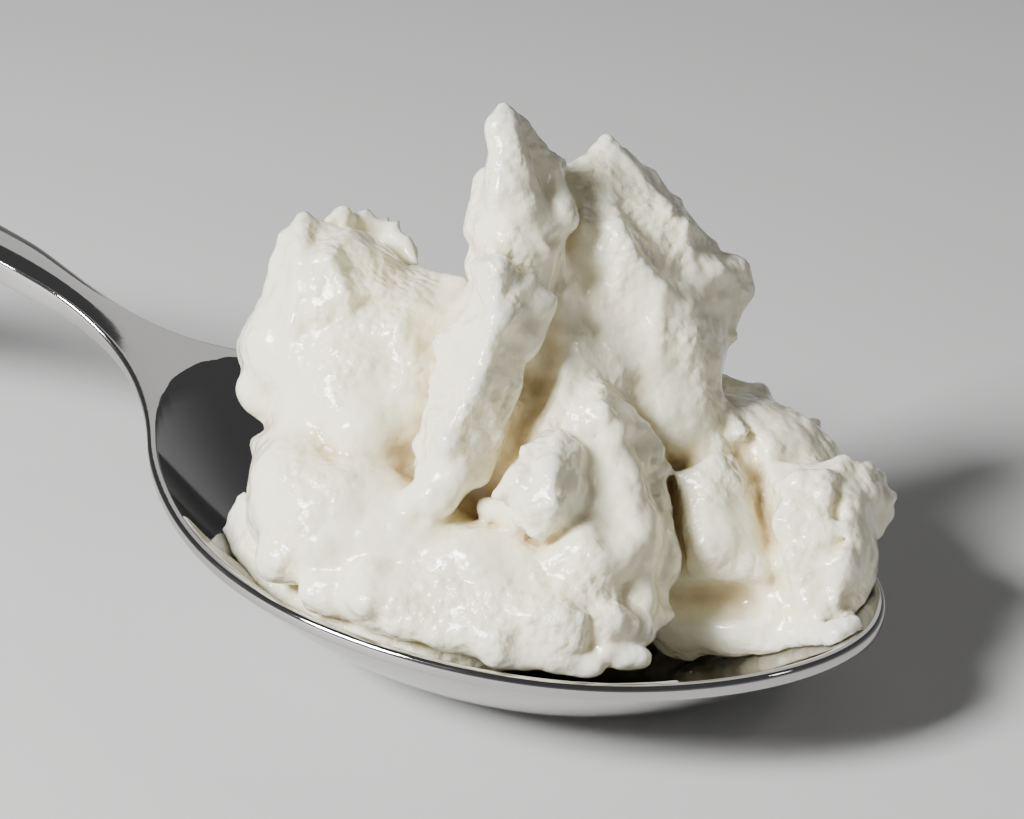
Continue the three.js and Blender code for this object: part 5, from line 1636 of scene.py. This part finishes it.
@dataclass(frozen=True)
class WheyFinish:
    """Thin cloudy whey."""

    colour: Colour = (0.80, 0.79, 0.74, 1.0)
    cloud_light: float = 0.9
    roughness: float = 0.04
    patch_roughness: float = 0.08
    clearness: float = 0.55
    refraction: float = 1.34
    grains_per_metre: float = 900.0
    relief: float = 0.00005
    bump: float = 0.4

    def build(self, speckle: Speckle, group: NodeTree) -> Material:
        """Makes the material."""
        material, tree, skin = new_material("cloudy_whey")
        height, patches = speckle.apply(tree, group, self.grains_per_metre)
        fill_in(tree, skin, {
            "Base Color": mixed(tree, patches, self.colour, dimmed(self.colour, self.cloud_light)),
            "Roughness": patches * self.patch_roughness + self.roughness,
            "Transmission Weight": self.clearness,
            "IOR": self.refraction,
        })
        add_bump(tree, skin, height, self.relief, self.bump)
        return material


# ---------------------------------------------------------------------------
# Whey film and droplets
# ---------------------------------------------------------------------------
@dataclass
class WheyFilm:
    """A thin film of whey along the near rim, in the hollow."""

    form: SpoonForm
    start_x: float = -22.5
    end_x: float = 24.0
    width: float = 4.6
    thickness: float = 0.35
    rim_gap: float = 0.15
    strips_along: int = 220
    strips_across: int = 10
    start_fade: float = 6.0
    end_fade: float = 8.0
    wobble_size: float = 4.0
    wobble: float = 0.45
    least_width: float = 0.02
    lift: float = 0.02
    least_thickness: float = 0.01
    seed: int = 41

    def build(self, material: Material) -> Object:
        """Makes the film as one closed body that follows the hollow."""
        x = np.linspace(self.start_x, self.end_x, self.strips_along)
        run = np.stack([x / self.wobble_size, np.zeros_like(x), np.zeros_like(x)], 1)
        fade = np.sqrt(np.clip((x - self.start_x) / self.start_fade, 0, 1)
                       * np.clip((self.end_x - x) / self.end_fade, 0, 1))
        width = self.width * fade * (1 + self.wobble * waves(run, self.seed)) + self.least_width
        across = np.linspace(0, 1, self.strips_across)
        rim = -np.sqrt(self.form.oval_squared(x)) + self.rim_gap
        y = rim[:, None] + across[None] * width[:, None]
        place_x = np.broadcast_to(x[:, None], y.shape)
        floor = self.form.top_height(place_x, y) + self.lift
        dome = np.sqrt(np.clip(1 - (2 * across - 1) ** 2, 0, 1))[None] * np.minimum(1, width[:, None])
        top = floor + self.least_thickness + self.thickness * dome
        sides = [np.stack([place_x, y, z], -1).reshape(-1, 3) for z in (top, floor)]
        piece = new_mesh("whey_film", np.concatenate(sides) * MM, closed_sheet(*y.shape))
        shade_smooth(piece)
        piece.data.materials.append(material)
        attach(piece, BODY)
        return piece


def closed_sheet(rows: int, columns: int) -> list[list[int]]:
    """Faces of an upper and a lower grid of points, joined round their edges.

    Args:
        rows: points along the first direction.
        columns: points along the second direction.

    Returns:
        Corner numbers of each face, pointing outwards for an upper grid that faces +Z.
    """
    under = rows * columns
    faces = []
    for quad in grid_faces(rows, columns):
        faces += [quad, [under + k for k in reversed(quad)]]
    edge = [i * columns for i in range(rows)]
    edge += [(rows - 1) * columns + j for j in range(1, columns)]
    edge += [i * columns + columns - 1 for i in range(rows - 2, -1, -1)]
    edge += range(columns - 2, 0, -1)
    return faces + [[b, a, a + under, b + under] for a, b in zip(edge, edge[1:] + edge[:1])]


@dataclass
class Droplets:
    """Droplets of whey on the bare steel, scattered by a node tree."""

    form: SpoonForm
    patches: tuple[tuple[float, float, float, float], ...] = ((17, 29, -11, -1.5), (-27, -20, -8, 9))
    patch_points: int = 12
    per_square_metre: float = 60000.0
    smallest: float = 0.12
    largest: float = 0.85
    size_power: float = 3.5
    flatness: float = 0.32
    fineness: int = 2
    length_ends: Pair = (0.8, 1.5)
    width_ends: Pair = (0.7, 1.2)
    height_ends: Pair = (1.0, 0.7)
    seed: int = 5

    def patch_mesh(self) -> Object:
        """Makes the patches of the hollow's surface that the droplets lie on."""
        count = self.patch_points
        points, faces = [], []
        for low_x, high_x, low_y, high_y in self.patches:
            x, y = np.meshgrid(np.linspace(low_x, high_x, count), np.linspace(low_y, high_y, count),
                               indexing="ij")
            first = sum(len(p) for p in points)
            points.append(np.stack([x, y, self.form.top_height(x, y)], -1).reshape(-1, 3) * MM)
            faces += [[first + k for k in quad] for quad in grid_faces(count, count)]
        return new_mesh("whey_droplets", np.concatenate(points), faces)

    def bead(self, tree: ShapeTree) -> NodeSocket:
        """One flat bead of unit size."""
        ball = tree.add("GeometryNodeMeshIcoSphere", {"Radius": 1.0, "Subdivisions": self.fineness})
        flat = tree.add("ShaderNodeCombineXYZ", {"X": 1.0, "Y": 1.0, "Z": tree.size("Flatness")})
        return tree.add("GeometryNodeTransform",
                        {"Geometry": ball.outputs["Mesh"], "Scale": flat.outputs[0]}).outputs[0]

    def scale(self, tree: ShapeTree) -> NodeSocket:
        """Length, width and height of each bead, drawn at random: few are large."""
        draw, longer, wider = (Term(tree.tree, tree.add(
            "FunctionNodeRandomValue", {"Seed": self.seed + turn}, data_type="FLOAT"
        ).outputs["Value"]) for turn in (1, 2, 3))
        smallest = tree.size("Smallest")
        size = smallest + (tree.size("Largest") - smallest) * draw ** self.size_power
        shares = {"X": (longer, *self.length_ends), "Y": (wider, *self.width_ends),
                  "Z": (longer, *self.height_ends)}
        sizes = {axis: size * (share * (end - start) + start)
                 for axis, (share, start, end) in shares.items()}
        return tree.add("ShaderNodeCombineXYZ", sizes).outputs[0]

    def build(self, material: Material) -> Object:
        """Makes the droplets as one piece."""
        tree = ShapeTree("droplets", {"Density": self.per_square_metre, "Smallest": self.smallest * MM,
                                      "Largest": self.largest * MM, "Flatness": self.flatness})
        scatter = tree.add("GeometryNodeDistributePointsOnFaces", {
            "Mesh": tree.source.outputs[0], "Seed": self.seed, "Density": tree.size("Density")})
        beads = tree.add("GeometryNodeInstanceOnPoints", {
            "Points": scatter.outputs["Points"], "Instance": self.bead(tree),
            "Rotation": scatter.outputs["Rotation"], "Scale": self.scale(tree)})
        tree.finish(beads.outputs[0], material)
        piece = tree.bake(self.patch_mesh())
        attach(piece, BODY)
        return piece


# ---------------------------------------------------------------------------
# Floor, light and camera
# ---------------------------------------------------------------------------
@dataclass(frozen=True)
class Light:
    """A soft square light: place as right, up and near of the target, in metres."""

    name: str
    right: float
    up: float
    near: float
    side: float
    power: float
    colour: Triple = (1.0, 1.0, 1.0)


@dataclass
class Studio:
    """The plain pale floor, the soft lights and the camera at the photograph's angle.

    The camera's distance, its target and its lens are in mm.
    """

    distance: float = 206.0
    target_right: float = 0.6
    target_up: float = 21.0
    lens: float = 80.0
    sensor: float = 36.0
    clear_from: float = 0.01
    floor_reach: float = 3.0
    floor_colour: Colour = (0.50, 0.50, 0.495, 1.0)
    floor_roughness: float = 0.65
    cloud_light: float = 0.97
    clouds_per_metre: float = 3.0
    cloud_detail: float = 2.0
    low_air: Colour = (0.26, 0.265, 0.27, 1.0)
    high_air: Colour = (0.085, 0.086, 0.09, 1.0)
    air_turns_at: float = 0.55
    lights: tuple[Light, ...] = (
        Light("key", -0.38, 0.20, 0.37, 0.16, 9.6),
        Light("fill", 0.34, 0.30, 0.42, 0.06, 0.2, (1.0, 0.95, 0.88)),
        Light("top", 0.05, 0.55, -0.3, 0.35, 0.3),
    )

    def axes(self) -> tuple[Vector, Vector, Vector]:
        """The view's right, up and near directions."""
        right, _, near = (Vector(row) for row in view_axes())
        return right, near.cross(right), near

    def target(self) -> Vector:
        """The point that the camera looks at, in metres."""
        right, up, _ = self.axes()
        return (right * self.target_right + up * self.target_up) * MM

    def add_camera(self) -> None:
        """Adds the camera and makes it the scene's."""
        right, up, near = self.axes()
        data = bpy.data.cameras.new("view")
        data.lens = self.lens
        data.sensor_width = self.sensor
        data.sensor_fit = "HORIZONTAL"
        data.clip_start = self.clear_from
        camera = bpy.data.objects.new("view", data)
        bpy.context.scene.collection.objects.link(camera)
        turned = Matrix((right, up, near)).transposed().to_4x4()
        camera.matrix_world = Matrix.Translation(self.target() + near * self.distance * MM) @ turned
        bpy.context.scene.camera = camera

    def add_lights(self) -> None:
        """Adds the soft lights and the even light of the air."""
        right, up, near = self.axes()
        for light in self.lights:
            data = bpy.data.lights.new(light.name, "AREA")
            data.size = light.side
            data.energy = light.power
            data.color = light.colour
            lamp = bpy.data.objects.new(light.name, data)
            bpy.context.scene.collection.objects.link(lamp)
            offset = right * light.right + up * light.up + near * light.near
            lamp.location = self.target() + offset
            lamp.rotation_euler = offset.to_track_quat("Z", "Y").to_euler()
        world = bpy.data.worlds.new("air")
        world.use_nodes = True
        tree = world.node_tree
        towards = add_node(tree, "ShaderNodeTexCoord").outputs["Generated"]
        height = Term(tree, add_node(tree, "ShaderNodeSeparateXYZ", {"Vector": towards}).outputs["Z"])
        shade = mixed(tree, height.eased(0.0, self.air_turns_at), self.low_air, self.high_air)
        plug(tree, tree.nodes["Background"].inputs["Color"], shade)
        bpy.context.scene.world = world

    def add_floor(self) -> None:
        """Adds the floor that the spoon rests on."""
        reach = self.floor_reach
        corners = [(-reach, -reach, 0), (reach, -reach, 0), (reach, reach, 0), (-reach, reach, 0)]
        floor = new_mesh("floor", np.array(corners), [[0, 1, 2, 3]])
        material, tree, skin = new_material("pale_floor")
        cloud = noise(tree, object_place(tree), self.clouds_per_metre, self.cloud_detail)
        darker = dimmed(self.floor_colour, self.cloud_light)
        fill_in(tree, skin, {"Base Color": mixed(tree, cloud, self.floor_colour, darker),
                             "Roughness": self.floor_roughness})
        floor.data.materials.append(material)

    def build(self) -> None:
        """Adds everything that isn't part of the object."""
        self.add_camera()
        self.add_lights()
        self.add_floor()


# ---------------------------------------------------------------------------
# The spoonful
# ---------------------------------------------------------------------------
def report(piece: Object) -> None:
    """Logs a piece's name and number of faces."""
    LOG.info("%s: %d faces", piece.name, len(piece.data.polygons))


def main() -> None:
    """Builds the spoonful and its surroundings."""
    logging.basicConfig(level=logging.INFO, format="%(message)s")
    form = SpoonForm()
    speckle = Speckle()
    group = speckle.group()
    steel = SteelFinish().build()
    quark = QuarkFinish().build(speckle, group)
    whey = WheyFinish().build(speckle, group)
    pieces = (
        Spoon(form).build(steel),
        QuarkHeap(form).build(quark),
        WheyFilm(form).build(whey),
        Droplets(form).build(whey),
    )
    for piece in pieces:
        report(piece)
    Studio().build()


if __name__ == "__main__":
    main()
